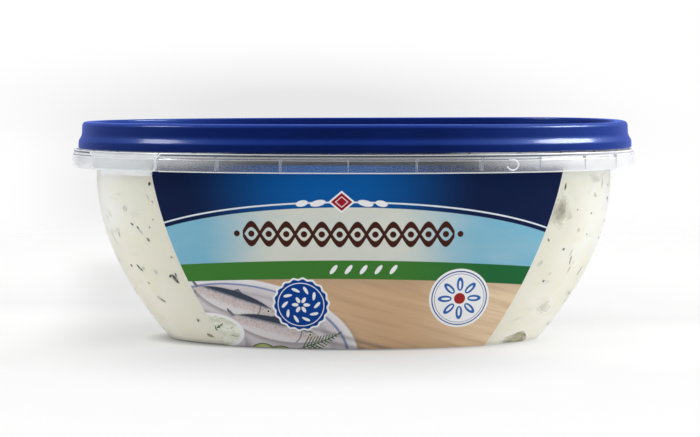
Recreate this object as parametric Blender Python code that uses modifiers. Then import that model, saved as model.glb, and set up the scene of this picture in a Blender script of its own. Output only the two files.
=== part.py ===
"""Oval food tub, shut: herring fillets in dill sauce in a clear tub with a press-on lid and a printed label.

Metres in the scene, +Z up, the front faces -Y and the tub stands on Z = 0, centred on the Z axis.
The sizes below are in millimetres.
"""
import math

import bmesh
import bpy
from mathutils import Matrix, Vector

MM = 0.001
STEPS = 64  # corners of one oval ring

# The skirt is the widest line. Other rim outlines are given as how far they lie inside it.
SKIRT_HALF_LENGTH = 88.0
SKIRT_HALF_WIDTH = 54.6
RIM_SQUARENESS = 2.15  # 2 is an ellipse, more is fuller at the corners

# The wall draws in from the rim to the base along a parabola.
WALL_TOP_INSET = 7.2
WALL_DRAW_IN_ENDS = 22.7
WALL_DRAW_IN_SIDES = 21.3
WALL_CURVE_TOP = 52.3
BASE_SQUARENESS = 1.9
WALL = 1.0
WALL_HEIGHTS = (5.0, 10.0, 16.0, 23.0, 31.0, 42.0, WALL_CURVE_TOP)

FLOOR_RECESS = 1.2
FOOT_EDGE = 0.9
FOOT_WIDTH = 3.2
FLOOR_TOP = 2.2

SKIRT_BOTTOM = 54.8
FLANGE_TOP = 60.1
FLANGE_THICK = 1.0
SKIRT_THICK = 1.1
SHOULDER_INSET = 0.6
SHOULDER_HEIGHT = 58.4
COLLAR_INSET = 4.6
COLLAR_TOP = 66.9
SNAP_BEAD = 0.5

# Short stiffening ribs inside the skirt. The pull tab takes the place of three of them.
RIB_PLACES = 28
RIB_WIDE = 0.8
RIB_DEEP = 2.0
RIB_BOTTOM = 55.9
TAB_PLACES = (-5, -3)
TAB_SLOT_DEGREES = 1.3
TAB_PROUD = 0.4
TAB_BOTTOM = 55.6
TAB_TOP = 59.9
TAB_CORNER = 1.6
TAB_LIP_BOTTOM = 54.1
TAB_LIP_INSET = 2.4

LID_BOTTOM = 60.4
LID_TOP = 68.8
LID_INSET = 1.7
LID_THICK = 1.1
LID_PANEL = 65.7
LID_CREST_OUTER = 3.9
LID_CREST_INNER = 7.4

CLEARANCE = 0.3  # between pieces that touch in the real pack
SAUCE_LEVEL = 55.0

LABEL_TOP = 56.0
LABEL_BOTTOM = 0.9
LABEL_THICK = 0.2
LABEL_HALF_ANGLE = 42.9
LABEL_FLARE = 6.4
LABEL_TURN = 1.5
LABEL_COLUMNS = 16
BASE_LABEL_INSET = 6.0

# Pieces that show through the clear wall: angle round the tub, height, turn, and full size
# along the wall, upward and inward.
HERRING_BITES = (
    ("herring_bite_upper", 50.0, 42.6, 14.0, (6.0, 11.0, 15.0)),
    ("herring_bite_lower", 63.0, 13.0, -28.0, (11.0, 6.0, 14.0)),
)
GHERKIN = ("gherkin_piece", 60.0, 3.6, 8.0, (10.0, 5.0, 9.0))
BITE_ROUNDING = 1.8


def clear_scene():
    for thing in list(bpy.data.objects):
        bpy.data.objects.remove(thing, do_unlink=True)


def collection(name):
    made = bpy.data.collections.new(name)
    bpy.context.scene.collection.children.link(made)
    return made


def material(name, colour, roughness, clearness=0.0):
    made = bpy.data.materials.new(name)
    made.use_nodes = True
    shader = made.node_tree.nodes["Principled BSDF"]
    shader.inputs["Base Color"].default_value = (*colour, 1.0)
    shader.inputs["Roughness"].default_value = roughness
    shader.inputs["Metallic"].default_value = 0.0
    shader.inputs["Transmission Weight"].default_value = clearness
    return made


def oval_point(angle, outline, height):
    """A corner of an oval ring. Angle 0 is the front and a quarter turn is the right end."""
    half_length, half_width, squareness = outline
    across = math.sin(angle)
    depth = max(0.0, 1.0 - abs(across) ** squareness) ** (1.0 / squareness)
    front = -math.copysign(half_width * depth, math.cos(angle))
    return Vector((half_length * across, front, height)) * MM


def rim_outline(inset):
    return SKIRT_HALF_LENGTH - inset, SKIRT_HALF_WIDTH - inset, RIM_SQUARENESS


def wall_outline(height, inset=0.0):
    """The outer wall's outline at a height, or one that lies inside it."""
    drawn_in = max(0.0, 1.0 - height / WALL_CURVE_TOP) ** 2
    half_length, half_width, _ = rim_outline(WALL_TOP_INSET + inset)
    squareness = RIM_SQUARENESS + (BASE_SQUARENESS - RIM_SQUARENESS) * drawn_in
    return (
        half_length - WALL_DRAW_IN_ENDS * drawn_in,
        half_width - WALL_DRAW_IN_SIDES * drawn_in,
        squareness,
    )


def oval_ring(outline, height):
    return [oval_point(2 * math.pi * k / STEPS, outline, height) for k in range(STEPS)]


def add_object(name, mesh, home, finish):
    thing = bpy.data.objects.new(name, mesh)
    home.objects.link(thing)
    if finish:
        mesh.materials.append(finish)
    return thing


def loft(name, rings, home, finish=None):
    """A closed body through rings of equal count, with the first and last ring filled."""
    shape = bmesh.new()
    loops = [[shape.verts.new(point) for point in ring] for ring in rings]
    for here, following in zip(loops, loops[1:]):
        for k in range(len(here)):
            after = (k + 1) % len(here)
            shape.faces.new((here[k], here[after], following[after], following[k]))
    shape.faces.new(loops[0])
    shape.faces.new(loops[-1])
    bmesh.ops.recalc_face_normals(shape, faces=shape.faces)
    mesh = bpy.data.meshes.new(name)
    shape.to_mesh(mesh)
    shape.free()
    thing = add_object(name, mesh, home, finish)
    mesh.shade_smooth()
    mesh.set_sharp_from_angle(angle=math.radians(35))
    return thing


def curved_block(name, angles, inner, outer, bottoms, top, home):
    """A block that follows the rim between two insets, with its own bottom at each angle."""
    sections = []
    for angle, bottom in zip(angles, bottoms):
        corners = ((outer, bottom), (outer, top), (inner, top), (inner, bottom))
        turn = math.radians(angle)
        sections.append([oval_point(turn, rim_outline(inset), height) for inset, height in corners])
    return loft(name, sections, home)


def boolean(thing, operation, other):
    """Cuts or joins with an object, or with all objects of a collection."""
    change = thing.modifiers.new(operation.title(), "BOOLEAN")
    change.operation = operation
    change.solver = "EXACT"
    if isinstance(other, bpy.types.Collection):
        change.operand_type = "COLLECTION"
        change.collection = other
    else:
        change.object = other
    return change


def make_guide(thing):
    thing.hide_render = True
    thing.display_type = "WIRE"


def tub_rings():
    """The tub's section, from under the floor up the outside, over the rim and down the inside."""
    foot = wall_outline(0.0, FOOT_EDGE)
    foot_inside = wall_outline(0.0, FOOT_EDGE + FOOT_WIDTH)
    recess = wall_outline(0.0, FOOT_EDGE + FOOT_WIDTH + 1.0)
    rings = [
        (recess, FLOOR_RECESS),
        (foot_inside, FLOOR_RECESS * 0.5),
        (wall_outline(0.0, FOOT_EDGE + FOOT_WIDTH - 0.5), 0.0),
        (foot, 0.0),
        (wall_outline(1.0), 1.0),
    ]
    rings += [(wall_outline(height), height) for height in WALL_HEIGHTS]
    flange_under = FLANGE_TOP - FLANGE_THICK
    rings += [
        (rim_outline(WALL_TOP_INSET), flange_under - 0.5),
        (rim_outline(WALL_TOP_INSET - 0.5), flange_under),
        (rim_outline(SKIRT_THICK), flange_under),
        (rim_outline(SKIRT_THICK), SKIRT_BOTTOM + 0.2),
        (rim_outline(SKIRT_THICK - 0.3), SKIRT_BOTTOM),
        (rim_outline(0.2), SKIRT_BOTTOM),
        (rim_outline(0.0), SKIRT_BOTTOM + 0.3),
        (rim_outline(0.0), SHOULDER_HEIGHT - 0.2),
        (rim_outline(SHOULDER_INSET), SHOULDER_HEIGHT + 0.2),
        (rim_outline(SHOULDER_INSET), FLANGE_TOP - 0.4),
        (rim_outline(SHOULDER_INSET + 0.5), FLANGE_TOP),
        (rim_outline(COLLAR_INSET), FLANGE_TOP),
        (rim_outline(COLLAR_INSET), FLANGE_TOP + 1.7),
        (rim_outline(COLLAR_INSET - SNAP_BEAD), FLANGE_TOP + 2.5),
        (rim_outline(COLLAR_INSET), FLANGE_TOP + 3.3),
        (rim_outline(COLLAR_INSET), COLLAR_TOP - 0.3),
        (rim_outline(COLLAR_INSET + 0.3), COLLAR_TOP),
        (rim_outline(COLLAR_INSET + WALL - 0.2), COLLAR_TOP),
        (rim_outline(COLLAR_INSET + WALL), COLLAR_TOP - 0.3),
        (rim_outline(COLLAR_INSET + WALL), FLANGE_TOP + 0.9),
        (rim_outline(COLLAR_INSET + WALL + 0.6), FLANGE_TOP + 0.3),
        (rim_outline(WALL_TOP_INSET + WALL), FLANGE_TOP - 0.3),
    ]
    rings += [(wall_outline(height, WALL), height) for height in reversed(WALL_HEIGHTS)]
    rings += [
        (wall_outline(FLOOR_TOP + 0.6, WALL + 0.2), FLOOR_TOP + 0.6),
        (wall_outline(FLOOR_TOP, WALL + 1.2), FLOOR_TOP),
    ]
    return [oval_ring(outline, height) for outline, height in rings]


def rib_angle(place):
    return 360.0 * place / RIB_PLACES


def add_ribs(home):
    for place in range(RIB_PLACES):
        signed = place - RIB_PLACES if place > RIB_PLACES / 2 else place
        if TAB_PLACES[0] <= signed <= TAB_PLACES[1]:
            continue
        angle = math.radians(rib_angle(place))
        middle = 0.5 * (RIB_BOTTOM + FLANGE_TOP - 0.5 * FLANGE_THICK)
        inset = SKIRT_THICK + 0.5 * RIB_DEEP - 0.4
        centre = oval_point(angle, rim_outline(inset), middle)
        ahead = oval_point(angle + 0.01, rim_outline(inset), middle)
        behind = oval_point(angle - 0.01, rim_outline(inset), middle)
        along = ahead - behind
        bpy.ops.mesh.primitive_cube_add(size=1.0, location=centre)
        rib = bpy.context.object
        rib.name = f"rib_{place:02d}"
        rib.rotation_euler.z = math.atan2(along.y, along.x)
        tall = FLANGE_TOP - 0.5 * FLANGE_THICK - RIB_BOTTOM
        rib.scale = Vector((RIB_WIDE, RIB_DEEP, tall)) * MM
        move_to(rib, home)


def move_to(thing, home):
    for old in list(thing.users_collection):
        old.objects.unlink(thing)
    home.objects.link(thing)
    make_guide(thing)


def tab_angles():
    low = rib_angle(TAB_PLACES[0]) + TAB_SLOT_DEGREES
    high = rib_angle(TAB_PLACES[1]) - TAB_SLOT_DEGREES
    return low, high


def add_tab(home):
    """The tear-off tab: a raised panel with rounded lower corners, and a lip behind it."""
    low, high = tab_angles()
    corner_degrees = math.degrees(TAB_CORNER / SKIRT_HALF_LENGTH) * 1.4
    ends = [0.0, 0.15, 0.5, 1.0]
    angles = [low + corner_degrees * share for share in ends]
    angles += [low + (high - low) * k / 6 for k in range(1, 6)]
    angles += [high - corner_degrees * share for share in reversed(ends)]
    bottoms = []
    for angle in angles:
        from_end = min(angle - low, high - angle) / corner_degrees
        left = 1.0 - min(1.0, from_end)
        bottoms.append(TAB_BOTTOM + TAB_CORNER * (1.0 - math.sqrt(1.0 - left * left)))
    make_guide(curved_block("tab_panel", angles, 0.5, -TAB_PROUD, bottoms, TAB_TOP, home))
    lip = [low + (high - low) * k / 8 for k in range(9)]
    inner = TAB_LIP_INSET + 0.9
    lip_bottoms = [TAB_LIP_BOTTOM] * len(lip)
    top = FLANGE_TOP - 0.5 * FLANGE_THICK
    make_guide(curved_block("tab_lip", lip, inner, TAB_LIP_INSET, lip_bottoms, top, home))


def add_tab_slots(home):
    """Cuts on both sides of the tab, which stays bridged at the top."""
    low, high = tab_angles()
    for name, start in (("slot_left", low - TAB_SLOT_DEGREES), ("slot_right", high)):
        angles = [start, start + TAB_SLOT_DEGREES]
        bottoms = [SKIRT_BOTTOM - 1.0] * 2
        slot = curved_block(name, angles, SKIRT_THICK + 0.4, -1.0, bottoms, SHOULDER_HEIGHT - 0.4, home)
        make_guide(slot)
    trim_angles = [low + (high - low) * k / 8 for k in range(9)]
    trim = curved_block(
        "slot_below", trim_angles, SKIRT_THICK + 0.4, -1.0,
        [SKIRT_BOTTOM - 1.0] * 9, SKIRT_BOTTOM + 0.5, home,
    )
    make_guide(trim)


def make_tub(home, additions, cuts, finish):
    tub = loft("tub", tub_rings(), home, finish)
    add_ribs(additions)
    add_tab(additions)
    add_tab_slots(cuts)
    boolean(tub, "DIFFERENCE", cuts)
    boolean(tub, "UNION", additions)
    return tub


def make_lid(home, finish):
    """One shell: lower band, bevel, upper band, crest, and a panel sunk inside the crest.

    Its section runs from the panel's underside out to the lower edge, then up the outside
    and over the crest to the panel's top.
    """
    bevel_low, bevel_high = LID_BOTTOM + 2.2, LID_BOTTOM + 4.0
    upper = LID_INSET + 1.1
    outer = [
        (LID_INSET + 0.2, LID_BOTTOM),
        (LID_INSET, LID_BOTTOM + 0.3),
        (LID_INSET + 0.05, bevel_low),
        (LID_INSET + 0.4, 0.5 * (bevel_low + bevel_high)),
        (upper, bevel_high),
        (upper + 0.1, LID_TOP - 1.2),
        (upper + 0.4, LID_TOP - 0.4),
        (LID_CREST_OUTER, LID_TOP),
        (LID_CREST_INNER - 0.6, LID_TOP),
        (LID_CREST_INNER, LID_TOP - 0.5),
        (LID_CREST_INNER + 0.7, LID_PANEL + 0.7),
        (LID_CREST_INNER + 1.7, LID_PANEL),
        (LID_CREST_INNER + 9.0, LID_PANEL),
    ]
    under = [
        (LID_CREST_INNER + 9.0, LID_PANEL - LID_THICK),
        (LID_CREST_INNER + 1.3, LID_PANEL - LID_THICK),
        (LID_CREST_INNER - 0.1, LID_PANEL - LID_THICK + 0.9),
        (LID_CREST_INNER - 0.9, LID_TOP - LID_THICK - 0.4),
        (LID_CREST_INNER - 1.4, LID_TOP - LID_THICK),
        (upper + LID_THICK + 0.8, LID_TOP - LID_THICK),
        (upper + LID_THICK + 0.1, LID_TOP - LID_THICK - 0.7),
        (upper + LID_THICK, bevel_high - 0.4),
        (LID_INSET + LID_THICK + 0.05, bevel_low),
        (LID_INSET + LID_THICK, LID_BOTTOM + 0.2),
        (LID_INSET + LID_THICK - 0.2, LID_BOTTOM),
    ]
    rings = [oval_ring(rim_outline(inset), height) for inset, height in under + outer]
    return loft("lid", rings, home, finish)


def filling_rings(inset):
    low = FLOOR_TOP + CLEARANCE
    heights = [low + 0.8, *WALL_HEIGHTS, SAUCE_LEVEL - 0.4]
    rings = [oval_ring(wall_outline(low, inset + 1.2), low)]
    rings += [oval_ring(wall_outline(height, inset), height) for height in heights]
    rings += [oval_ring(wall_outline(SAUCE_LEVEL, inset + 0.5), SAUCE_LEVEL)]
    return rings


def chunk(name, angle, height, turn, size, grow, home, finish=None):
    """A rounded block against the wall, its depth pointing inward."""
    centre = oval_point(math.radians(angle), wall_outline(height, 0.35 * size[2]), height)
    ahead = oval_point(math.radians(angle + 1), wall_outline(height), height)
    behind = oval_point(math.radians(angle - 1), wall_outline(height), height)
    along = ahead - behind
    bpy.ops.mesh.primitive_cube_add(size=1.0)
    block = bpy.context.object
    block.name = name
    wide, tall, deep = (length + 2 * grow for length in size)
    place = Matrix.Translation(centre) @ Matrix.Rotation(math.atan2(along.y, along.x), 4, "Z")
    place = place @ Matrix.Rotation(math.radians(turn), 4, "Y")
    block.data.transform(Matrix.Diagonal((wide * MM, deep * MM, tall * MM, 1.0)))
    block.data.transform(place)
    rounding = block.modifiers.new("Rounding", "BEVEL")
    rounding.width = (BITE_ROUNDING + grow) * MM
    rounding.segments = 3
    rounding.limit_method = "NONE"
    for old in list(block.users_collection):
        old.objects.unlink(block)
    home.objects.link(block)
    if finish:
        block.data.materials.append(finish)
    return block


def make_contents(home, guides, sauce_finish, bite_finish, gherkin_finish):
    """The sauce up to its level, and the pieces in it that lie against the wall."""
    inset = WALL + CLEARANCE
    sauce = loft("sauce", filling_rings(inset), home, sauce_finish)
    room = loft("room_in_tub", filling_rings(inset), guides)
    make_guide(room)
    kinds = [(bite, bite_finish) for bite in HERRING_BITES] + [(GHERKIN, gherkin_finish)]
    for (name, angle, height, turn, size), finish in kinds:
        piece = chunk(name, angle, height, turn, size, 0.0, home, finish)
        boolean(piece, "INTERSECT", room)
        pocket = chunk(f"{name}_pocket", angle, height, turn, size, CLEARANCE, guides)
        make_guide(pocket)
        boolean(sauce, "DIFFERENCE", pocket)


def make_label(name, middle_angle, home, finish):
    """One printed panel: a thin skin over the wall, flaring towards its top."""
    shape = bmesh.new()
    rows = []
    for height in (LABEL_BOTTOM, *WALL_HEIGHTS, LABEL_TOP):
        half = LABEL_HALF_ANGLE + LABEL_FLARE * (height / LABEL_TOP) ** 2
        outline = wall_outline(height, -CLEARANCE)
        shares = [2 * column / LABEL_COLUMNS - 1 for column in range(LABEL_COLUMNS + 1)]
        angles = [math.radians(middle_angle + half * share) for share in shares]
        rows.append([shape.verts.new(oval_point(angle, outline, height)) for angle in angles])
    for lower, upper in zip(rows, rows[1:]):
        for k in range(LABEL_COLUMNS):
            shape.faces.new((lower[k], lower[k + 1], upper[k + 1], upper[k]))
    mesh = bpy.data.meshes.new(name)
    shape.to_mesh(mesh)
    shape.free()
    label = add_object(name, mesh, home, finish)
    skin = label.modifiers.new("Thickness", "SOLIDIFY")
    skin.thickness = LABEL_THICK * MM
    skin.offset = 1.0
    mesh.shade_smooth()
    return label


def make_base_label(home, finish):
    """The label's middle panel, a flat oval up in the base's recess."""
    outline = wall_outline(0.0, BASE_LABEL_INSET)
    heights = (FLOOR_RECESS - CLEARANCE - LABEL_THICK, FLOOR_RECESS - CLEARANCE)
    return loft("label_base", [oval_ring(outline, height) for height in heights], home, finish)


def main():
    clear_scene()
    parts = collection("herring_fillet_tub")
    additions = collection("tub_additions")
    cuts = collection("tub_cuts")
    guides = collection("filling_guides")
    clear = material("clear_plastic", (0.93, 0.95, 0.96), 0.08, 0.9)
    blue = material("lid_blue", (0.012, 0.035, 0.24), 0.28)
    cream = material("dill_sauce", (0.83, 0.82, 0.70), 0.4)
    fillet = material("herring_flesh", (0.52, 0.50, 0.45), 0.35)
    green = material("gherkin_green", (0.33, 0.35, 0.20), 0.35)
    print_finish = material("printed_film", (0.10, 0.32, 0.62), 0.3)
    make_tub(parts, additions, cuts, clear)
    make_lid(parts, blue)
    make_contents(parts, guides, cream, fillet, green)
    make_label("label_front", LABEL_TURN, parts, print_finish)
    make_label("label_back", 180.0 + LABEL_TURN, parts, print_finish)
    make_base_label(parts, print_finish)


main()
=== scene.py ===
import math
import random
import time

import bmesh
import bpy
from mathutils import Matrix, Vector


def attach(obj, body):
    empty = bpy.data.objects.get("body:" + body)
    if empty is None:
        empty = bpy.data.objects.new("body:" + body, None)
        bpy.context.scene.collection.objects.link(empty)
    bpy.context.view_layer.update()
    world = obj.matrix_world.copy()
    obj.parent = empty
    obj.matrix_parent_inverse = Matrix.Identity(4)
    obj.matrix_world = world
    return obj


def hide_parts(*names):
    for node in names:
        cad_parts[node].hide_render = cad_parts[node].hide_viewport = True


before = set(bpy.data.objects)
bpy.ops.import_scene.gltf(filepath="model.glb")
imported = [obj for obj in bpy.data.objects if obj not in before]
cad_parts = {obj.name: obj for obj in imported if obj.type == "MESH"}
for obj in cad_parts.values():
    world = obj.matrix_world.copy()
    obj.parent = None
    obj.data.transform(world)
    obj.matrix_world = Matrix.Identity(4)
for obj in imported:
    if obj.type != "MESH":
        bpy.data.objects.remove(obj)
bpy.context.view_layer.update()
mm = 0.001
started = time.time()


def report(*words):
    print(f"{time.time() - started:6.1f} s ", *words)


report("frame loaded:", ", ".join(sorted(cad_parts)))


# the pack's shape, in millimetres, as the solids have it

packForm = {
    "halfLength": 88.0,       # of the skirt, the widest line
    "halfWidth": 54.6,
    "squareness": 2.15,       # 2 is an ellipse
    "baseSquareness": 1.9,
    "wallInset": 7.2,         # from the skirt in to the top of the wall
    "drawEnds": 22.7,         # how far the wall draws in down to the base
    "drawSides": 21.3,
    "curveTop": 52.3,
    "wall": 0.5,
    "around": 256,            # steps round the oval
}


def drawnIn(height):
    # 1 at the base, 0 where the wall stands straight
    return max(0.0, 1.0 - height / packForm["curveTop"]) ** 2


def ovalForm(inset, height):
    # half the length, half the width and the squareness of the oval at a height
    drop = drawnIn(height)
    squareness = packForm["squareness"]
    squareness += (packForm["baseSquareness"] - squareness) * drop
    halfWidth = packForm["halfWidth"] - inset
    halfWidth += (packForm["drawEnds"] - packForm["drawSides"]) * drop
    return packForm["halfLength"] - inset, halfWidth, squareness


def ovalPlace(angle, inset, height):
    # angle 0 is the front, a quarter turn is the right end
    halfLength, halfWidth, squareness = ovalForm(inset, height)
    across = math.sin(angle)
    depth = max(0.0, 1.0 - abs(across) ** squareness) ** (1.0 / squareness)
    y = -math.copysign(halfWidth * depth, math.cos(angle))
    return Vector((halfLength * across, y, height)) * mm


def ovalRun(angle, inset, height, turn=0.01):
    # which way and how far the oval runs in a radian, at an angle
    ahead, behind = (ovalPlace(angle + way * turn, inset, height) for way in (1, -1))
    return (ahead - behind) / (2 * turn)


def wallInset(height, inside=0.0):
    return packForm["wallInset"] + packForm["drawEnds"] * drawnIn(height) + inside


# modelling steps that several pieces share

def workOn(piece):
    bpy.ops.object.select_all(action="DESELECT")
    piece.select_set(True)
    bpy.context.view_layer.objects.active = piece


def editAll(piece):
    workOn(piece)
    bpy.ops.object.mode_set(mode="EDIT")
    bpy.ops.mesh.select_all(action="SELECT")


def leaveEdit():
    bpy.ops.object.mode_set(mode="OBJECT")


def pick(piece, kind, test):
    # selects the faces or edges that pass, and nothing else
    cage = bmesh.from_edit_mesh(piece.data)
    for part in (*cage.faces, *cage.edges, *cage.verts):
        part.select_set(False)
    for part in getattr(cage, kind):
        if test(part):
            part.select_set(True)
    bmesh.update_edit_mesh(piece.data)


def faceOutward(piece):
    editAll(piece)
    bpy.ops.mesh.normals_make_consistent(inside=False)
    leaveEdit()


def roundedLine(corners, steps=4):
    # a corner's third number is its rounding, in millimetres, up to nearly half of its sides
    line = []
    longest = 0.48
    for k, corner in enumerate(corners):
        here = Vector(corner[:2])
        rounding = corner[2] if len(corner) > 2 else 0.0
        if not rounding or k in (0, len(corners) - 1):
            line.append(tuple(here))
            continue
        before = Vector(corners[k - 1][:2]) - here
        after = Vector(corners[k + 1][:2]) - here
        reach = min(rounding, longest * before.length, longest * after.length)
        start, end = here + before.normalized() * reach, here + after.normalized() * reach
        for step in range(steps + 1):
            share = step / steps
            first, second = start.lerp(here, share), here.lerp(end, share)
            line.append(tuple(first.lerp(second, share)))
    return line


def drawLine(name, points):
    # an open line of edges in the XZ plane: one point, extruded along
    (x, z), rest = points[0], points[1:]
    bpy.ops.mesh.primitive_plane_add(size=mm, location=(x * mm, 0, z * mm))
    piece = bpy.context.object
    piece.name = name
    bpy.ops.object.transform_apply(location=True)
    editAll(piece)
    bpy.ops.mesh.merge(type="CENTER")
    for nextX, nextZ in rest:
        step = ((nextX - x) * mm, 0, (nextZ - z) * mm)
        bpy.ops.mesh.extrude_vertices_move(TRANSFORM_OT_translate={"value": step})
        x, z = nextX, nextZ
    leaveEdit()
    return piece


def toOval(piece):
    # the round body's radius becomes how far in from the skirt the oval lies
    for corner in piece.data.vertices:
        x, y, z = corner.co / mm
        radius = math.hypot(x, y)
        corner.co = ovalPlace(math.atan2(x, -y), packForm["halfLength"] - radius, z)


def spunOval(name, section, steps=None):
    # section: (inset from the skirt, height) all along the piece's cut
    points = [(packForm["halfLength"] - inset, height) for inset, height in section]
    piece = drawLine(name, points)
    editAll(piece)
    bpy.ops.mesh.spin(steps=steps or packForm["around"], angle=2 * math.pi, center=(0, 0, 0), axis=(0, 0, 1))
    bpy.ops.mesh.select_all(action="SELECT")
    bpy.ops.mesh.remove_doubles(threshold=0.01 * mm)
    leaveEdit()
    toOval(piece)
    return piece


def closeEnds(piece):
    # fills the open rims flat and turns all faces outward
    workOn(piece)
    bpy.ops.object.mode_set(mode="EDIT")
    cage = bmesh.from_edit_mesh(piece.data)
    level = 0.002 * mm
    heights = sorted({round(edge.verts[0].co.z, 6) for edge in cage.edges if edge.is_boundary})
    for height in heights:
        pick(piece, "edges", lambda e: e.is_boundary and abs(e.verts[0].co.z - height) < level)
        bpy.ops.mesh.edge_face_add()
    leaveEdit()
    faceOutward(piece)


def applyAll(piece):
    workOn(piece)
    for modifier in list(piece.modifiers):
        bpy.ops.object.modifier_apply(modifier=modifier.name)


def dress(piece, material, nodes=(), sharpest=40):
    # finish, smoothing and the frame's facts for one piece
    workOn(piece)
    bpy.ops.object.transform_apply(location=True, rotation=True, scale=True)
    bpy.ops.object.shade_smooth_by_angle(angle=math.radians(sharpest))
    if not piece.data.materials:
        piece.data.materials.append(material)
    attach(piece, "root")
    if nodes:
        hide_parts(*nodes)
    report("made", piece.name, len(piece.data.polygons), "faces")
    return piece


# materials: a value in a shader that takes plus, minus and times

class Wire:
    def __init__(self, paint, socket):
        self.paint, self.socket = paint, socket

    def math(self, operation, *others):
        values = {k: value for k, value in enumerate((self, *others))}
        return self.paint.node("ShaderNodeMath", {"operation": operation}, values)

    def __add__(self, other):
        return self.math("ADD", other)

    __radd__ = __add__

    def __mul__(self, other):
        return self.math("MULTIPLY", other)

    __rmul__ = __mul__

    def __sub__(self, other):
        return self.math("SUBTRACT", other)

    def __rsub__(self, other):
        return self.paint.node("ShaderNodeMath", {"operation": "SUBTRACT"}, {0: other, 1: self})

    def __truediv__(self, other):
        return self.math("DIVIDE", other)

    def __neg__(self):
        return self * -1.0

    def __abs__(self):
        return self.math("ABSOLUTE")

    def __and__(self, other):
        return self.math("MINIMUM", other)

    def __or__(self, other):
        return self.math("MAXIMUM", other)

    def sine(self):
        return self.math("SINE")

    def root(self):
        return self.math("SQRT")

    def power(self, exponent):
        return self.math("POWER", exponent)

    def square(self):
        return self * self

    def above(self, edge, blur):
        # 0 below the edge, 1 above it, with a soft step
        values = {"Value": self, 1: edge - blur, 2: edge + blur}
        return self.paint.node("ShaderNodeMapRange", {"interpolation_type": "SMOOTHSTEP"}, values)

    def below(self, edge, blur):
        return 1.0 - self.above(edge, blur)

    def between(self, low, high, blur):
        return self.above(low, blur) * self.below(high, blur)


def apart(first, second, centre, spread):
    # distance from a centre, where each direction has its own spread, given as a square
    first, second = first - centre[0], second - centre[1]
    return (first.square() / spread[0] + second.square() / spread[1]).root()


class Paint:
    def __init__(self, name, holder=None):
        self.material = holder or bpy.data.materials.new(name)
        self.material.use_nodes = True
        self.tree = self.material.node_tree
        self.tree.nodes.clear()

    def feed(self, socket, value):
        if isinstance(value, Wire):
            self.tree.links.new(value.socket, socket)
        elif hasattr(value, "__len__") and len(value) == 3 and socket.type == "RGBA":
            socket.default_value = (*value, 1.0)
        else:
            socket.default_value = value

    def node(self, kind, settings=None, values=None, out=0):
        made = self.tree.nodes.new(kind)
        for key, value in (settings or {}).items():
            setattr(made, key, value)
        for key, value in (values or {}).items():
            self.feed(made.inputs[key], value)
        return Wire(self, made.outputs[out])

    def mix(self, share, first, second):
        values = {0: share, 6: first, 7: second}
        return self.node("ShaderNodeMix", {"data_type": "RGBA"}, values, out=2)

    def place(self):
        return self.node("ShaderNodeTexCoord", out="Object")

    def normal(self):
        return self.parts(self.node("ShaderNodeNewGeometry", out="Normal"))

    def ray(self, kind):
        return self.node("ShaderNodeLightPath", out=f"Is {kind} Ray")

    def parts(self, where):
        made = self.node("ShaderNodeSeparateXYZ", None, {0: where}).socket.node
        return [Wire(self, made.outputs[name]) for name in "XYZ"]

    def noise(self, where, scale, detail, roughness=0.5):
        values = {"Vector": where, "Scale": scale, "Detail": detail, "Roughness": roughness}
        return self.node("ShaderNodeTexNoise", None, values)

    def cells(self, where, scale, out="Distance"):
        return self.node("ShaderNodeTexVoronoi", None, {"Vector": where, "Scale": scale}, out=out)

    def bump(self, height, distance, strength):
        values = {"Height": height, "Distance": distance, "Strength": strength}
        return self.node("ShaderNodeBump", None, values)

    def body(self, values):
        # the shader of a piece that isn't clear
        return self.node("ShaderNodeBsdfPrincipled", None, values)

    def clear(self, colour=(1.0, 1.0, 1.0)):
        return self.node("ShaderNodeBsdfTransparent", None, {"Color": colour})

    def blend(self, share, first, second):
        return self.node("ShaderNodeMixShader", None, {0: share, 1: first, 2: second})

    def finish(self, shader):
        out = self.tree.nodes.new("ShaderNodeOutputMaterial")
        self.tree.links.new(shader.socket, out.inputs["Surface"])
        return self.material


def lidPaint():
    look = {
        "deep": (0.0001, 0.0028, 0.043),
        "light": (0.0004, 0.0060, 0.074),
        "end": (0.0032, 0.0200, 0.190),       # painted light: the ends, painted lighter where the side lamps fall on them
        "leftEnd": 0.28,                      # how much of that the left end has
        "top": (0.0018, 0.022, 0.225),        # painted light: upward faces, painted lighter as lit from above
        "speck": (0.36, 0.42, 0.60),
        "dust": (240.0, 0.055, 0.9),          # how fine, how big and how rare the specks are
        "gloss": (0.10, 0.34, 1.0),           # the broad, bluish part of the gloss
        "skin": 0.30,                         # the sharp, white part
        "sheen": (0.15, 0.26, 1.0),
        "roughness": 0.42,
    }
    paint = Paint("lidBlue")
    where = paint.place()
    cloud = paint.noise(where, 35.0, 3.0)
    fine = paint.noise(where, 1400.0, 2.0)
    dustScale, dustSize, dustRare = look["dust"]
    dustCell = paint.cells(where, dustScale)
    dustKind = paint.node("ShaderNodeSeparateColor", None, {0: paint.cells(where, dustScale, out="Color")})
    dust = dustCell.below(dustSize, 0.02) * dustKind.above(dustRare, 0.01)
    colour = paint.mix(cloud.between(0.35, 2.0, 0.2), look["deep"], look["light"])
    # painted light: the ends and the upward faces are painted lighter by which way they face, where the lamps
    # fall on them
    sideward, _, upward = paint.normal()
    ends = sideward.above(0.42, 0.34) + sideward.below(-0.34, 0.34) * look["leftEnd"]
    colour = paint.mix(ends, colour, look["end"])
    colour = paint.mix(upward.above(0.5, 0.45), colour, look["top"])
    colour = paint.mix(dust * 0.55, colour, look["speck"])
    return paint.finish(paint.body({
        "Base Color": colour,
        "Roughness": look["roughness"] + cloud * 0.08 + dust * 0.3,
        "IOR": 1.5,
        "Specular IOR Level": 0.36,
        "Specular Tint": look["gloss"],
        "Coat Weight": look["skin"],
        "Coat Roughness": 0.15,
        "Sheen Weight": 0.76,
        "Sheen Roughness": 0.45,
        "Sheen Tint": look["sheen"],
        "Normal": paint.bump(fine + cloud * 2.0, 0.00002, 0.3),
    }))


# the clear plastic: places are metres along the pack, each with how softly it begins

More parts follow.
